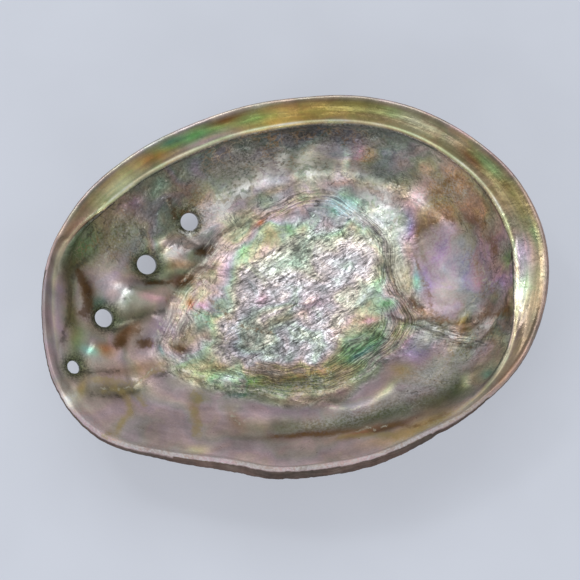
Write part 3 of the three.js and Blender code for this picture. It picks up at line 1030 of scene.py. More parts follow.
STROKES = {  # by colour group: line and half width
    "pale": [  # the scar's ragged border, the layers outside it, and the edges of layers elsewhere
        ([(-49, -15), (-42, -19), (-33, -23), (-26, -29), (-17, -30), (-9, -34), (4, -34)], 0.5),
        ([(4, -34), (10, -34), (21, -29), (32, -22), (38, -18), (42, -15), (47, -12)], 0.5),
        ([(5, -40), (14, -42.5), (20, -42), (27, -39), (33, -34)], 0.5),
        ([(6, -38.5), (14, -40), (21, -39)], 0.4),
        ([(-76, -24), (-66, -24.5), (-59, -22.5), (-54, -18), (-47, -17), (-43, -20)], 0.35),
        ([(-56, 42), (-58, 36), (-65, 29), (-69, 23)], 0.3),
        ([(-40, 51), (-41, 46), (-39, 41)], 0.25),
        ([(46, -16), (53, -21.5), (60, -24.5), (66, -22)], 0.5),
        ([(74, 9), (71.5, 4), (71, -1), (73, -5)], 0.4),
        ([(66, -6), (61, -11), (56, -15)], 0.4),
        ([(47, 36), (43, 30), (42, 23), (41, 14), (43, 4), (46, -4)], 0.4),
        ([(-26, -36), (-29, -39), (-27, -43), (-22, -41)], 0.4),
        ([(-52, -8), (-50, 1), (-45, 10), (-38, 19)], 0.35),
        ([(14, -53), (18, -51.5), (20, -54), (24, -53)], 0.4),
        ([
            (-49, -13), (-48, -2), (-43, 4), (-37, 14),
            (-27, 25), (-17, 33), (-8, 38), (2, 41),
        ], 0.1),
        ([(-46, -10), (-44, 0), (-38, 9), (-30, 20), (-20, 29), (-8, 35)], 0.0),
        ([(-43, -13), (-41, -2), (-36, 6), (-30, 15)], 0.0),
        ([
            (2, 42), (12, 44.5), (22, 41), (30, 36), (36, 28),
            (39, 18), (39, 8), (42, 0), (46, -7),
        ], 0.2),
        ([(27, 37), (32, 30), (36, 21), (37.5, 13), (40, 6), (41.5, -2), (46, -9)], 0.4),
        ([(31, 38), (35, 31), (38, 23), (39, 14), (41.5, 6), (43, -1)], 0.3),
        ([(24, 35), (29, 30), (33, 22), (35, 12)], 0.1),
        ([(-30, 26), (-27, 19), (-22, 15)], 0.0),
        ([
            (-46.5, -8), (-46.3, -13.5), (-43.5, -17.5),
            (-39.5, -19.5), (-35, -22.5), (-28, -25.5),
        ], 0.5),
        ([(-66.5, -25), (-62, -29), (-61.5, -35), (-65, -41)], 0.1),
    ],
    "dark": [  # deep shade in creases
        ([(-48, -7), (-48, -14.5), (-44.5, -19), (-40.5, -21), (-36, -24), (-28.5, -27)], 0.4),
        ([(-28, 22), (-24, 28), (-17, 31)], -0.2),
        ([(30, 36), (34, 30), (37, 22), (38, 13), (40.5, 5), (42.5, -4)], 0.1),
        ([(45, -14.5), (52, -21), (60, -27), (67, -24.5), (71.5, -20), (75, -13)], 0.5),
        ([(-76, -26.5), (-66, -27), (-59, -25), (-54, -20.5), (-47, -19)], 0.4),
        ([(-61, 10), (-57.5, 15)], 0.4),
        ([(-44.5, 30.5), (-41, 35.5)], 0.4),
        ([(-66, -2), (-60, 1), (-54, 4), (-47, 6)], 0.5),
        ([(-79, -18), (-72, -17), (-66, -18)], 0.5),
        ([(-34, 29), (-24, 34), (-14, 38), (-4, 39.5)], 0.5),
        ([(-72, 26), (-77, 21), (-80, 12), (-80, 2), (-83, -6)], 0.5),
        ([(-46, 8), (-38, 21), (-30, 28)], 0.3),
        ([(38, 24), (38.5, 14), (37, 4), (40, -4), (46, -10)], 0.4),
    ],
    "brown": [  # brown stains
        ([(-16, -49), (-6, -50.5), (6, -52), (15, -52)], 0.6),
        ([(18, -53), (27, -53), (36, -56), (44, -54)], 0.4),
        ([(50, 21), (53, 25), (62, 26), (69, 22), (73, 14), (75, 5)], 0.4),
        ([(50, 20), (49, 12), (50, 4), (50, -8), (55, -13)], 0.3),
        ([(42, 4), (44, -2), (47, -8), (53, -13)], 0.5),
        ([(67, -14), (72, -17), (74, -21)], 0.6),
        ([(-31, 47), (-33, 44), (-36, 43)], 0.5),
        ([(60, 34), (66, 34), (70, 29)], 0.4),
        ([(-30, 9), (-20, -4), (-10, -7)], 0.3),
    ],
    "gold": [  # golden stains
        ([(-68, -23), (-64, -27), (-63, -33), (-66, -39), (-71, -43)], 0.9),
        ([(-40, -29), (-41.5, -36), (-41, -45)], 1.1),
        ([(-72, -25), (-66, -23.5), (-60, -26), (-58, -31)], 0.7),
        ([(8, -54.5), (20, -56), (34, -58), (46, -55)], 0.9),
        ([(-75.5, -21), (-66, -22), (-59, -23), (-54, -18.5), (-50, -17)], 0.8),
    ],
    "stain": [  # deep brown stains round the holes
        ([(-75, 20), (-73.5, 14), (-73.5, 8), (-76, 4)], 1.2),
        ([(-52, 17.5), (-44, 17.3)], 0.6),
        ([(-32.5, 29), (-27, 30.5)], 1.2),
        ([(-65, -7.5), (-62.5, -4.5), (-58, -2.5)], 1.4),
        ([(-57, -7.5), (-54, -7)], 1.5),
        ([(-41, 17.5), (-37, 18)], 1.5),
        ([(-44.5, -10.5), (-42, -11.5)], 1.2),
        ([(-40, 46), (-39, 42)], 0.6),
    ],
}
TINT_CONTRAST, TINT_GAIN, TINT_SATURATION = 1.4, 1.42, 1.2
STROKE_REACH = 3.0  # mm, how far from a line its distance is kept


def stroke_distance(place, group):
    """Distance to the nearest line of a colour group, less its half width."""
    best = np.full(len(place.p), STROKE_REACH)
    for points, width in STROKES[group]:
        best = np.minimum(best, to_line(place.x, place.y, points)[0] - width)
    return best


# bright spots painted into the colour as highlights
GLINTS = [  # strength, middle, half length and half width, direction
    # on the saddles between the holes, and the boss
    (1, (-41, 30), (3, 2.2), 30),
    (1, (-60, 12), (2.4, 2.6), 50),
    (1, (-84, -29), (3.2, 2.4), 60),
    # along the upper wall
    (1, (-34, 39), (4, 2.6), 20),
    (1, (-20, 45), (6, 3.4), 25),
    (1, (-13, 50), (6, 3), 20),
    (1, (-4, 53), (4, 2.4), 20),
    (1, (4, 55), (3, 2), 10),
    (1, (13, 53), (4, 2.6), 0),
    # beside the scar and the spire
    (1, (38, 39), (6, 4), -30),
    (1, (43, 30), (3, 8), 15),
    (0.7, (29, 35), (9, 4), -14),
    (0.8, (53, 36), (2, 2), 0),
    (0.7, (53, -18), (9, 2.6), -33),
    (0.8, (67, -19), (3.4, 2.6), 20),
]

FROST = [  # fine pale grains
    (0.9, (46, -34), (18, 6.5), 28),
    (0.6, (14, -45), (22, 4), 6),
    (0.6, (40, -22), (8, 4), 10),
    (0.7, (-24, 44), (10, 5), 20),
    (0.6, (-10, 53), (24, 6), 8),
    (0.5, (28, 52), (22, 6), -8),
    (0.7, (52, -19), (10, 3.6), -35),
    (0.6, (62, 33), (11, 5), -30),
    (0.45, (-6, -31), (26, 3), 0),
    (0.4, (-58, 34), (16, 7), 40),
]

FANS = [  # thin pale lines side by side, round the scar
    (1, (-37, 10), (20, 5), 58),
    (1, (-24, 33), (12, 3.4), 48),
    (1, (37, 22), (16, 3), 108),
    (0.7, (10, 42), (26, 3), -4),
    (0.5, (30, -16), (18, 7), 32),
]

NETS = [  # fine brown veins
    (0.7, (62, 32), (12, 7), -30),
    (0.7, (-64, 30), (18, 9), 38),
    (0.6, (-30, 46), (10, 7), 20),
    (0.5, (70, 0), (7, 22), 0),
    (0.5, (60, -24), (14, 8), 0),
    (0.5, (-33, 0), (10, 18), 0),
    (0.7, (0, 58), (48, 6), 0),
]


def layered(tint, colours, layers):
    """The tint with layers of named colours laid over it in turn, each with its share."""
    for name, share in layers:
        share = share[:, None]
        tint = tint * (1 - share) + colours[name] * share
    return tint


def ledge_patches(place):
    for name, direction, inward, (wide, deep), strength in LEDGE_PATCHES:
        off = (place.direction - direction + 180) % 360 - 180
        share = np.exp(-((off / wide) ** 2) - ((place.rim - inward) / deep) ** 2)
        yield name, strength * share


def inner_finish(place):
    """Colour and the other values that the pearl material reads, for places on the inner skin."""
    lip = (1 - place.ledge_side) * smooth(place.scar, 2, 7)
    scar = 1 - smooth(place.scar, -1, 2)
    rough = 1 - smooth(place.rough, -2.5, 1)
    ledge = smooth(place.s, 6.9, 7.5) * place.ledge_side
    below = 1 - ledge
    edge = smooth(place.s, 9.2, 9.8) * (1 - place.ledge_side)
    steps = smooth(place.scar, -16, -12) * scar * place.between(218, 350, 30) * (1 - rough)
    # a painted highlight along the ledge's rolled inner edge
    painted_roll_highlight = np.exp(-((place.s - 7.7) / 0.2) ** 2) * ledge
    # under: where the shade below the ledge's edge is painted
    under = within(place.s, 5.3, 6.4, 7.05, 7.3) * place.ledge_side
    flange = (1 - smooth(place.flange, -1, 1)) * (1 - place.ledge_side)
    bowl = 1 - smooth(place.spire, 0.6, 1.1)
    ring = np.maximum.reduce([mound(bore.polar(place.p)[0] - bore.radius, 2.8) for bore in BORES])

    colours = {name: linear(rgb) for name, rgb in NAMED.items()}
    tint = layered(np.tile(colours["pearl"], (len(place.p), 1)), colours, [
        ("rose", 0.6 * lip),
        ("silver", 0.35 * scar),
        ("silver", 0.6 * rough),
        ("olive", 0.4 * steps),
        *((name, share * place.near(at, size, turn) * below) for name, at, size, turn, share in PATCHES),
        ("sand", 0.95 * ledge),
        *((name, share * ledge) for name, share in ledge_patches(place)),
        # painted highlight along the ledge's rolled edge
        ("cream", painted_roll_highlight),
        # painted shade on the wall under the ledge
        ("dark", 0.8 * under),
        ("rose", 0.4 * edge),
        ("tan", 0.35 * mound(place.spire - 1.1, 0.16) * below),
    ])
    tint = tint * (1 + 0.2 * CLOUD(place.p, 9, 3))[:, None]
    tint = layered(tint, colours, [("moss", 0.75 * ring)])
    grey = tint.mean(axis=1, keepdims=True)
    tint = np.clip(grey + TINT_SATURATION * (tint - grey), 0.01, 1)

    play = 0.36 + 0.14 * scar * (1 - rough) - 0.08 * rough - 0.16 * ledge - 0.2 * lip
    play -= 0.25 * place.near((38, 20), (5, 22), 12) + 0.3 * place.near((53, 36), (4, 4))
    rugged = np.clip(1 - 0.85 * lip - 0.8 * flange - 0.85 * bowl - 0.8 * ledge, 0.05, 1)
    rugged *= 1 - 0.7 * place.near((-54, 10), (34, 15), 45)
    rugged = np.maximum(rugged, 0.7 * place.near((44, -36), (30, 11), 28))
    grains = mound(place.rim - 2.0, 3.0) * (1 - place.ledge_side) * place.between(200, 330, 40)
    border = 0.3 * place.between(-20, 200, 30) + 0.7 * place.between(-20, 105, 40)
    lines = mound(place.scar, 3.6) * border + 0.8 * steps + 0.4 * mound(place.whorl + 1, 3)
    drawn = {
        f"{group}_line": stroke_distance(place, group) + STROKE_REACH * ledge for group in STROKES
    }
    return {
        "tint": np.clip(TINT_GAIN * tint**TINT_CONTRAST, 0, 0.96),
        "film": 0.9 * FILM(place.p, 30, 2) + 0.2 * FILM(place.p + 70, 9, 2) + 0.04 * place.scar,
        "play": np.clip(play, 0, 1),
        "flake": rough,
        "grit": np.maximum(0.9 * ring, 0.4 * place.near((-27, 45), (7, 4), 20)),
        "frost": np.maximum.reduce([place.cover(FROST), 0.45 * bowl, grains]) * below,
        "net": place.cover(NETS) * below,
        "rugged": rugged,
        "glint": place.cover(GLINTS) * below,
        "cords": place.near((55, -20.5), (13, 3.8), -28),
        "matte": np.maximum(0.8 * bowl, lip * smooth(-place.rim, -9, -5)) - 0.35 * ledge,
        "lines": np.clip(lines, 0, 1),
        "fan": place.cover(FANS),
        "along_rim": np.clip(ledge + 0.15 * lip, 0, 1),
        "scar_flow": place.scar_flow,
        "rim_flow": place.rim_flow,
        **drawn,
    }


CRUST_COLOURS = {
    "base": (98, 82, 74),
    "red": (124, 74, 58),
    "olive": (98, 96, 72),
    "pale": (176, 164, 146),
    "edge": (84, 71, 65),
}


def outer_finish(place):
    """The values that the outer layer's material reads: its growth bands run round the apex."""
    age, _ = growth(place)
    colours = {name: linear(rgb) for name, rgb in CRUST_COLOURS.items()}
    band = np.cos(ROUND * COLOUR_BANDS * age + 2.5 * place.wander_x)
    ring = np.maximum.reduce([mound(place.from_point(at), 0.8 * size) for at, size in knobs()])
    tint = layered(np.tile(colours["base"], (len(place.p), 1)), colours, [
        ("red", 0.6 * smooth(band, -0.2, 0.9)),
        ("olive", 0.55 * smooth(-band, 0.1, 1.0)),
        ("pale", 0.5 * smooth(CRUST(place.p + 50, 12, 3), 0.35, 0.9)),
        ("pale", 0.6 * (1 - smooth(age, 0.1, 0.45))),
        ("edge", 0.85 * (1 - smooth(place.s, 11.8, 12.8))),
        ("pale", 0.35 * ring * smooth(place.s, 13, 15)),
    ])
    bearing = np.arctan2(place.y - APEX[1], place.x - APEX[0])
    bands = flow_along(age * 100, bearing, CRUST_REACH)
    return {
        "tint": np.clip(tint * (1 + 0.2 * CLOUD(place.p, 7, 3))[:, None], 0, 1),
        "rugged": smooth(place.s, 11.0, 12.4),
        "lines": smooth(age, 0.05, 0.2),
        "scar_flow": bands,
        "rim_flow": bands,
    }


# ---------------------------------------------------------------- the piece


def shell_arrays():
    """Points in millimetres, their finish values, faces, and which faces are the outer layer."""
    angle, s, faces = grid_shell()
    points = skin(angle, s)
    normals = point_normals(points, faces)
    place = Place(points, angle, s)
    inside = s <= crust_start(angle)
    lift = np.where(inside, inner_relief(place), outer_relief(place))
    points = wear_edge(points + normals * lift[:, None], angle, s)
    low, high = np.array(LOW) / UNIT, np.array(HIGH) / UNIT
    points = np.clip(points, low, high)
    points, angle, s, quads, triangles = pierce(points, angle, s, faces)
    place = Place(points, angle, s)
    pearl, crust = inner_finish(place), outer_finish(place)
    inside = s <= crust_start(angle)
    finish = {
        name: np.where(inside[:, None] if value.ndim == 2 else inside, value, crust.get(name, 0))
        for name, value in pearl.items()
    }
    outer = (s - crust_start(angle))[quads].mean(axis=1) > 0
    outer = outer.tolist() + [False] * len(triangles)
    return points, finish, quads.tolist() + [list(face) for face in triangles], outer


def write_attribute(mesh, name, value):
    value = value.astype(np.float32)
    if value.ndim == 1:
        mesh.attributes.new(name, "FLOAT", "POINT").data.foreach_set("value", value)
    elif name == "tint":
        rgba = np.concatenate([value, np.ones((len(value), 1), np.float32)], axis=1)
        mesh.color_attributes.new(name, "FLOAT_COLOR", "POINT").data.foreach_set("color", rgba.ravel())
    else:
        mesh.attributes.new(name, "FLOAT_VECTOR", "POINT").data.foreach_set("vector", value.ravel())


def make_shell():
    points, finish, faces, outer = shell_arrays()
    mesh = bpy.data.meshes.new("abalone_shell")
    mesh.from_pydata((points * UNIT).tolist(), [], faces)
    for material in (pearl_material(), crust_material()):
        mesh.materials.append(material)
    mesh.polygons.foreach_set("material_index", [int(value) for value in outer])
    for name, value in finish.items():
        write_attribute(mesh, name, value)
    work = bmesh.new()
    work.from_mesh(mesh)
    bmesh.ops.recalc_face_normals(work, faces=work.faces[:])
    for face in work.faces:
        face.smooth = True
    work.to_mesh(mesh)
    work.free()
    piece = bpy.data.objects.new("abalone_shell", mesh)
    bpy.context.collection.objects.link(piece)
    return piece


# ---------------------------------------------------------------- materials

PER_MILLIMETRE = 1 / UNIT  # object coordinates to millimetres
FILM_COLOURS = [  # one round of the interference colours, display values
    (196, 168, 206), (214, 172, 190), (212, 186, 150), (178, 184, 130),
    (134, 184, 134), (122, 178, 172), (160, 166, 204), (196, 168, 206),
]
FILM_GAIN = 1.9  # the film colours are tints, so they are brought up to a mean of one
LINE_COLOURS = [  # group of strokes, display colour, strength and fade in millimetres
    ("dark", (54, 50, 36), 0.6, 1.6),
    ("stain", (86, 56, 8), 0.75, 1.6),
    ("brown", (122, 88, 46), 0.7, 1.6),
    ("gold", (172, 152, 96), 0.55, 1.8),
    ("pale", (206, 202, 184), 0.7, 0.5),
]


class Graph:
    """A material's nodes, made by short calls."""

    def __init__(self, name):
        self.material = bpy.data.materials.new(name)
        self.material.use_nodes = True
        self.tree = self.material.node_tree
        self.shader = self.tree.nodes["Principled BSDF"]

    def node(self, kind, settings=None, **inputs):
        node = self.tree.nodes.new(kind)
        for name, value in (settings or {}).items():
            setattr(node, name, value)
        for name, value in inputs.items():
            self.put(node.inputs[name.replace("_", " ")], value)
        return node

    def put(self, socket, value):
        if isinstance(value, bpy.types.NodeSocket):
            self.tree.links.new(value, socket)
        else:
            socket.default_value = value

    def finish(self, **inputs):
        for name, value in inputs.items():
            self.put(self.shader.inputs[name.replace("_", " ")], value)
        return self.material

    def calculate(self, kind, settings, *values):
        node = self.node(kind, settings)
        for socket, value in zip(node.inputs, values):
            self.put(socket, value)
        return node.outputs[0]

    def math(self, operation, *values):
        return self.calculate("ShaderNodeMath", {"operation": operation}, *values)

    def vector(self, operation, *values):
        return self.calculate("ShaderNodeVectorMath", {"operation": operation}, *values)

    def fit(self, value, low, high, to_low=0.0, to_high=1.0):
        settings = {"interpolation_type": "SMOOTHSTEP"}
        return self.calculate("ShaderNodeMapRange", settings, value, low, high, to_low, to_high)

    def attribute(self, name, output="Fac"):
        return self.node("ShaderNodeAttribute", {"attribute_name": name}).outputs[output]

    def place(self, turn=0.0, stretch=(1, 1, 1)):
        """Object coordinates in millimetres, turned about Z and then stretched."""
        at = self.node("ShaderNodeTexCoord").outputs["Object"]
        turned = self.node("ShaderNodeMapping", Vector=at, Rotation=(0, 0, -turn)).outputs[0]
        scale = tuple(PER_MILLIMETRE / size for size in stretch)
        return self.node("ShaderNodeMapping", Vector=turned, Scale=scale).outputs[0]

    def stretched(self, flow, across, along):
        scale = (1 / across, 1 / along, 1 / along)
        return self.node("ShaderNodeMapping", Vector=flow, Scale=scale).outputs[0]

    def noise(self, at, size, detail=2.0, swirl=0.0, output=0):
        inputs = {"Vector": at, "Scale": 1 / size, "Detail": detail, "Distortion": swirl}
        return self.node("ShaderNodeTexNoise", **inputs).outputs[output]

    def product(self, first, *others):
        for value in others:
            first = self.math("MULTIPLY", first, value)
        return first

    def scale_colour(self, colour, by):
        node = self.node("ShaderNodeVectorMath", {"operation": "SCALE"})
        self.put(node.inputs[0], colour)
        self.put(node.inputs["Scale"], by)
        return node.outputs[0]

    def blend(self, share, under, over, mode="MIX"):
        node = self.node("ShaderNodeMix", {"data_type": "RGBA", "blend_type": mode})
        self.put(node.inputs["Factor"], share)
        self.put(node.inputs[6], under)
        self.put(node.inputs[7], over)
        return node.outputs[2]

    def shade(self, share, colour, by):
        """The colour made lighter or darker by a factor, where the share is high."""
        return self.blend(share, colour, self.scale_colour(colour, by))

    def paint(self, share, colour, rgb):
        """The colour covered with a display colour, where the share is high."""
        return self.blend(share, colour, (*linear(rgb), 1))

    def ramp(self, value, colours):
        node = self.node("ShaderNodeValToRGB", Fac=value)
        stops = node.color_ramp.elements
        while len(stops) < len(colours):
            stops.new(0.5)
        for k, rgb in enumerate(colours):
            stops[k].position = k / (len(colours) - 1)
            stops[k].color = (*linear(rgb), 1)
        return node.outputs[0]

    def bump(self, height, depth, **normal):
        """Bump of a height from 0 to 1 that stands for so many millimetres."""
        inputs = {"Height": height, "Distance": depth * UNIT, "Strength": 1.0}
        return self.node("ShaderNodeBump", **inputs, **normal).outputs[0]


class Pearl(Graph):
    """The inner skin's material: layers of colour, and the surface's own unevenness."""

    def __init__(self):
        super().__init__("pearl")
        self.at = self.place()
        names = ("play", "flake", "grit", "lines", "frost", "net", "rugged", "along_rim", "fan", "cords")
        self.value = {name: self.attribute(name) for name in names}
        scar_flow, rim_flow = (self.attribute(name, "Vector") for name in ("scar_flow", "rim_flow"))
        # growth lines: noises that are narrow across the flow and long along it
        self.thread = self.noise(self.stretched(scar_flow, 1.1, 8), 1, 4, 0.5)
        self.strand = self.noise(self.stretched(scar_flow, 0.5, 6), 1, 3, 0.4)
        self.streak = self.noise(self.stretched(rim_flow, 1.6, 22), 1, 3)
        self.cord = self.noise(self.place(math.radians(-28), (5, 0.6, 3)), 1, 4, 0.7)
        self.speck = self.noise(self.at, 0.7, 3)
        # the scar's flakes: slanting cells with ragged sides
        slant = self.place(FLAKE_TURN, (2.8, 0.62, 1.5))
        self.bent = self.vector("ADD", slant, self.scale_colour(self.noise(self.at, 4, 4, output=1), 2.0))
        self.cell = self.node("ShaderNodeTexVoronoi", Vector=self.bent, Scale=1.0).outputs["Color"]

    def distance_to_edge(self, at, scale):
        return self.node(
            "ShaderNodeTexVoronoi", {"feature": "DISTANCE_TO_EDGE"}, Vector=at, Scale=scale
        ).outputs["Distance"]

    def interference(self, tint):
        """The tint with the play of colour of thin films, laid out by a slowly turning phase."""
        phase = self.math("MULTIPLY_ADD", self.noise(self.at, 15, 3, 1.2), 1.4, self.attribute("film"))
        for noise, where, turns in (
            (self.thread, self.value["lines"], 0.9),
            (self.streak, self.value["along_rim"], 1.2),
        ):
            phase = self.math("MULTIPLY_ADD", self.math("MULTIPLY", noise, where), turns, phase)
        phase = self.math("MULTIPLY_ADD", self.noise(self.at, 1.4), 0.14, phase)
        film = self.scale_colour(self.ramp(self.math("FRACT", phase), FILM_COLOURS), FILM_GAIN)
        return self.blend(self.value["play"], tint, self.blend(1.0, tint, film, "MULTIPLY"))

    def uneven(self, colour):
        """Clouds, mottling, growth lines, fans of thin lines, and streaks along the rim."""
        rugged, fan = self.value["rugged"], self.value["fan"]
        cloud = self.fit(self.noise(self.at, 5, 4, 0.8), 0.3, 0.7, 0.72, 1.3)
        colour = self.shade(rugged, colour, cloud)
        mottle = self.fit(self.noise(self.at, 0.75, 3), 0.3, 0.7, 0.82, 1.18)
        colour = self.shade(self.math("MULTIPLY_ADD", rugged, 0.7, 0.3), colour, mottle)
        # growth lines and fans: pale and dark lines, partly the layers' own colour, partly painted
        # highlight and shade along their ridges
        lined = self.fit(self.strand, 0.38, 0.62, 0.5, 1.6)
        colour = self.shade(self.value["lines"], colour, lined)
        fibre = self.product(self.fit(self.strand, 0.55, 0.62), fan, 0.85)
        colour = self.paint(fibre, colour, (212, 212, 194))
        groove = self.product(self.fit(self.strand, 0.38, 0.45, 1.0, 0.0), fan, 0.7)
        colour = self.shade(groove, colour, 0.5)
        return self.shade(self.value["along_rim"], colour, self.fit(self.streak, 0.3, 0.7, 0.8, 1.2))

    def flaked(self, colour):
        """The scar's flakes, each with its own tone that is partly a painted sparkle, the cracks between
        them, and brighter clusters.
        """
        flake = self.value["flake"]
        chance = self.node("ShaderNodeSeparateColor", Color=self.cell).outputs[0]
        # each flake's own tone, partly a painted sparkle of highlights
        tone = self.fit(chance, 0.1, 0.9, 0.5, 1.6)
        colour = self.shade(self.math("MULTIPLY", flake, 0.85), colour, tone)
        cracked = self.fit(self.distance_to_edge(self.bent, 0.7), 0.0, 0.1, 0.15, 1.05)
        colour = self.shade(self.math("MULTIPLY", flake, 0.75), colour, cracked)
        bright = self.fit(self.noise(self.at, 9, 3, 1.0), 0.35, 0.65, 0.72, 1.35)
        return self.shade(flake, colour, bright)

    def veined(self, colour):
        """Brown nets, pale scratches and dark creases."""
        net, rugged = self.value["net"], self.value["rugged"]
        warp = self.scale_colour(self.noise(self.at, 4, 3, output=1), 7.0)
        edge = self.distance_to_edge(self.vector("ADD", self.at, warp), 0.28)
        patchy = self.fit(self.noise(self.at, 9, 2), 0.42, 0.6)
        vein = self.product(self.fit(edge, 0.0, 0.12, 1.0, 0.0), net, patchy)
        colour = self.paint(vein, colour, (150, 112, 60))
        scarce = self.fit(self.noise(self.at, 11, 2), 0.5, 0.62)
        scratch = self.product(self.fit(edge, 0.0, 0.035, 1.0, 0.0), rugged, scarce, 0.6)
        colour = self.paint(scratch, colour, (206, 204, 190))
        crease = self.math("ABSOLUTE", self.math("SUBTRACT", self.noise(self.at, 6, 6, 1.0), 0.5))
        clusters = self.fit(self.noise(self.at, 10, 2), 0.4, 0.58, 0.15, 1.0)
        where = self.fit(self.math("MAXIMUM", net, rugged), 0.25, 0.7)
        return self.shade(self.product(self.fit(crease, 0.0, 0.03, 1.0, 0.0), where, clusters), colour, 0.4)

    def grained(self, colour):
        """Frost, bright glints painted as highlights, the cords of the crescent, and dark grit."""
        frosty = self.fit(self.noise(self.at, 0.9, 6, 0.4), 0.36, 0.64)
        colour = self.paint(self.product(self.value["frost"], frosty, 0.75), colour, (206, 204, 204))
        broken = self.fit(self.noise(self.at, 2.4, 5, 0.6), 0.42, 0.56)
        colour = self.paint(self.product(self.attribute("glint"), broken, 0.9), colour, (244, 244, 240))
        colour = self.shade(self.value["cords"], colour, self.fit(self.cord, 0.38, 0.6, 0.4, 1.6))
        speckle = self.fit(self.speck, 0.35, 0.65, 0.25, 1.6)
        return self.shade(self.math("MULTIPLY", self.value["grit"], 0.85), colour, speckle)

    def drawn(self, colour):
        """Stains, layer edges and creases along lines, with ragged and broken borders."""
        ragged = self.noise(self.at, 1.3, 5)
        broken = self.fit(self.noise(self.at, 4.5, 3), 0.4, 0.56, 0.35, 1.0)
        for name, rgb, strength, fade in LINE_COLOURS:
            off = self.math("MULTIPLY_ADD", ragged, 4.0, self.attribute(f"{name}_line"))
            share = self.product(self.fit(off, 1.5, 1.5 + fade, 1.0, 0.0), strength, broken)
            colour = self.paint(share, colour, rgb)
        return colour

    def surface(self, grains):
        """Leaning flakes, waves, growth lines and grains."""
        facing = self.node("ShaderNodeNewGeometry").outputs["Normal"]
        lean = self.vector("SUBTRACT", self.cell, (0.5, 0.5, 0.5))
        lean = self.scale_colour(lean, self.math("MULTIPLY", self.value["flake"], 0.4))
        normal = self.vector("NORMALIZE", self.vector("ADD", facing, lean))
        rugged = self.value["rugged"]
        for height, where, depth in (
            (self.noise(self.at, 5, 4, 0.5), rugged, 0.8),
            (self.noise(self.at, 1.6, 4), self.math("ADD", rugged, 0.12), 0.22),
            (self.strand, self.value["lines"], 0.5),
            (self.streak, self.value["along_rim"], 0.12),
            (self.cord, self.value["cords"], 0.6),
            (self.speck, grains, 0.35),
        ):
            normal = self.bump(self.math("MULTIPLY", height, where), depth, Normal=normal)
        return normal


def pearl_material():
    g = Pearl()
    colour = g.interference(g.attribute("tint", "Color"))
    for layer in (g.uneven, g.flaked, g.veined, g.grained, g.drawn):
        colour = layer(colour)
    grains = g.math("MAXIMUM", g.value["grit"], g.math("MULTIPLY", g.value["frost"], 0.6))
    rough = g.fit(g.noise(g.at, 4, 3), 0.3, 0.7, 0.27, 0.42)
    rough = g.math("MULTIPLY_ADD", grains, 0.25, rough)
    return g.finish(
        Base_Color=colour,
        Metallic=0.5,
        Roughness=g.math("MULTIPLY_ADD", g.attribute("matte"), 0.3, rough),
        Normal=g.surface(grains),
        Coat_Weight=0.25,
        Coat_Roughness=0.18,
    )


def crust_material():
    g = Graph("outer_layer")
    at = g.place()
    tint = g.attribute("tint", "Color")
    flow, lines = g.attribute("scar_flow", "Vector"), g.attribute("lines")
    ring = g.noise(g.stretched(flow, 0.8, 14), 1, 3)
    stripe = g.fit(ring, 0.35, 0.65, 0.72, 1.28)
    colour = g.shade(lines, tint, stripe)
    speckle = g.fit(g.noise(at, 1.1, 4), 0.35, 0.68, 0.6, 1.45)
    away = g.math("MULTIPLY_ADD", g.attribute("rugged"), 0.75, 0.25)
    colour = g.shade(away, colour, speckle)
    normal = g.bump(g.math("MULTIPLY", ring, away), 0.35)
    normal = g.bump(g.math("MULTIPLY", g.noise(at, 1.6, 5), away), 0.5, Normal=normal)
    rough = g.fit(g.noise(at, 3, 2), 0.3, 0.7, 0.55, 0.85)
    return g.finish(Base_Color=colour, Roughness=rough, Normal=normal, Specular_IOR_Level=0.35)


def floor_material():
    g = Graph("studio_floor")
    at = g.place()
    grain = g.fit(g.noise(at, 40, 2), 0.3, 0.7, 0.97, 1.03)
    colour = g.scale_colour(FLOOR_COLOUR, grain)
    return g.finish(
        Base_Color=colour,
        Roughness=0.9,
        Specular_IOR_Level=0.1,
        Emission_Color=(*FLOOR_GLOW_COLOUR, 1),
        Emission_Strength=FLOOR_GLOW,
    )


# ---------------------------------------------------------------- studio

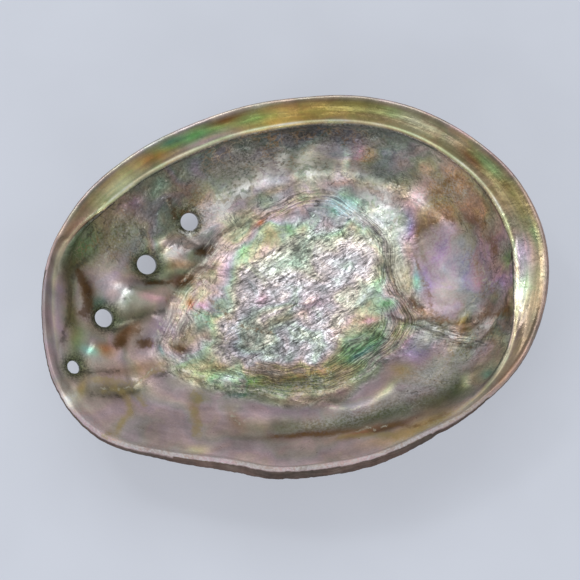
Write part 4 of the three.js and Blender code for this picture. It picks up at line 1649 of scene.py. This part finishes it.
FLOOR_COLOUR = tuple(linear((150, 154, 162)))
FLOOR_GLOW_COLOUR = tuple(linear((205, 209, 219)))
FLOOR_GLOW = 0.55
FLOOR_SIZE = 4.0  # metres
FLOOR_GAP = 0.00005  # metres, so that the floor and the shell's flat don't share a plane
CAMERA_TURN, CAMERA_LIFT = math.radians(-9), math.radians(70)
CAMERA_REACH = 520 * UNIT
CAMERA_LENS, CAMERA_SENSOR = 89.7, 36  # mm
CAMERA_TARGET = Vector((0, 0, 25 * UNIT))
CAMERA_SHIFT = (-0.0079, 0.0101)
LIGHTS = [  # name, place and size in metres, power in watts, colour
    ("softbox", (0.1, 0.6, 1.2), (0.9, 0.7), 4.2, (0.98, 0.99, 1.0)),
    ("key", (-0.35, 0.35, 0.9), (0.16, 0.16), 1.1, (1, 1, 1)),
    ("fill", (0.1, -1.3, 0.7), (1.2, 0.6), 5, (1, 1, 1)),
    ("side", (-0.9, -0.6, 0.7), (0.4, 0.4), 3, (1, 1, 1)),
]
LIT_PLACE = (0, 0, 0.02)
WORLD_STRENGTH = 0.42
WORLD_COLOUR = (0.93, 0.96, 1.0, 1)


def look_from(thing, place, target):
    thing.location = place
    thing.rotation_euler = (Vector(target) - Vector(place)).to_track_quat("-Z", "Y").to_euler()
    bpy.context.collection.objects.link(thing)


def make_floor():
    half = FLOOR_SIZE / 2
    mesh = bpy.data.meshes.new("studio_floor")
    corners = [(x, y, -FLOOR_GAP) for x, y in ((-half, -half), (half, -half), (half, half), (-half, half))]
    mesh.from_pydata(corners, [], [(0, 1, 2, 3)])
    mesh.materials.append(floor_material())
    floor = bpy.data.objects.new("studio_floor", mesh)
    bpy.context.collection.objects.link(floor)


def make_camera():
    camera = bpy.data.objects.new("camera", bpy.data.cameras.new("camera"))
    back = Vector((
        math.sin(CAMERA_TURN) * math.cos(CAMERA_LIFT),
        -math.cos(CAMERA_TURN) * math.cos(CAMERA_LIFT),
        math.sin(CAMERA_LIFT),
    ))
    camera.data.lens = CAMERA_LENS
    camera.data.sensor_width = CAMERA_SENSOR
    camera.data.shift_x, camera.data.shift_y = CAMERA_SHIFT
    camera.data.clip_start = 0.01
    look_from(camera, CAMERA_TARGET + back * CAMERA_REACH, CAMERA_TARGET)
    bpy.context.scene.camera = camera


def make_light(name, place, size, power, colour):
    data = bpy.data.lights.new(name, "AREA")
    data.shape = "RECTANGLE"
    data.size, data.size_y = size
    data.energy = power
    data.color = colour
    light = bpy.data.objects.new(name, data)
    look_from(light, place, LIT_PLACE)


def make_studio():
    make_floor()
    make_camera()
    for light in LIGHTS:
        make_light(*light)
    world = bpy.data.worlds.new("studio")
    world.use_nodes = True
    sky = world.node_tree.nodes["Background"]
    sky.inputs["Color"].default_value = WORLD_COLOUR
    sky.inputs["Strength"].default_value = WORLD_STRENGTH
    bpy.context.scene.world = world
    bpy.context.scene.view_settings.view_transform = "Standard"


shell = make_shell()
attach(shell, "root")
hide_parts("shell")
make_studio()
bpy.context.view_layer.update()
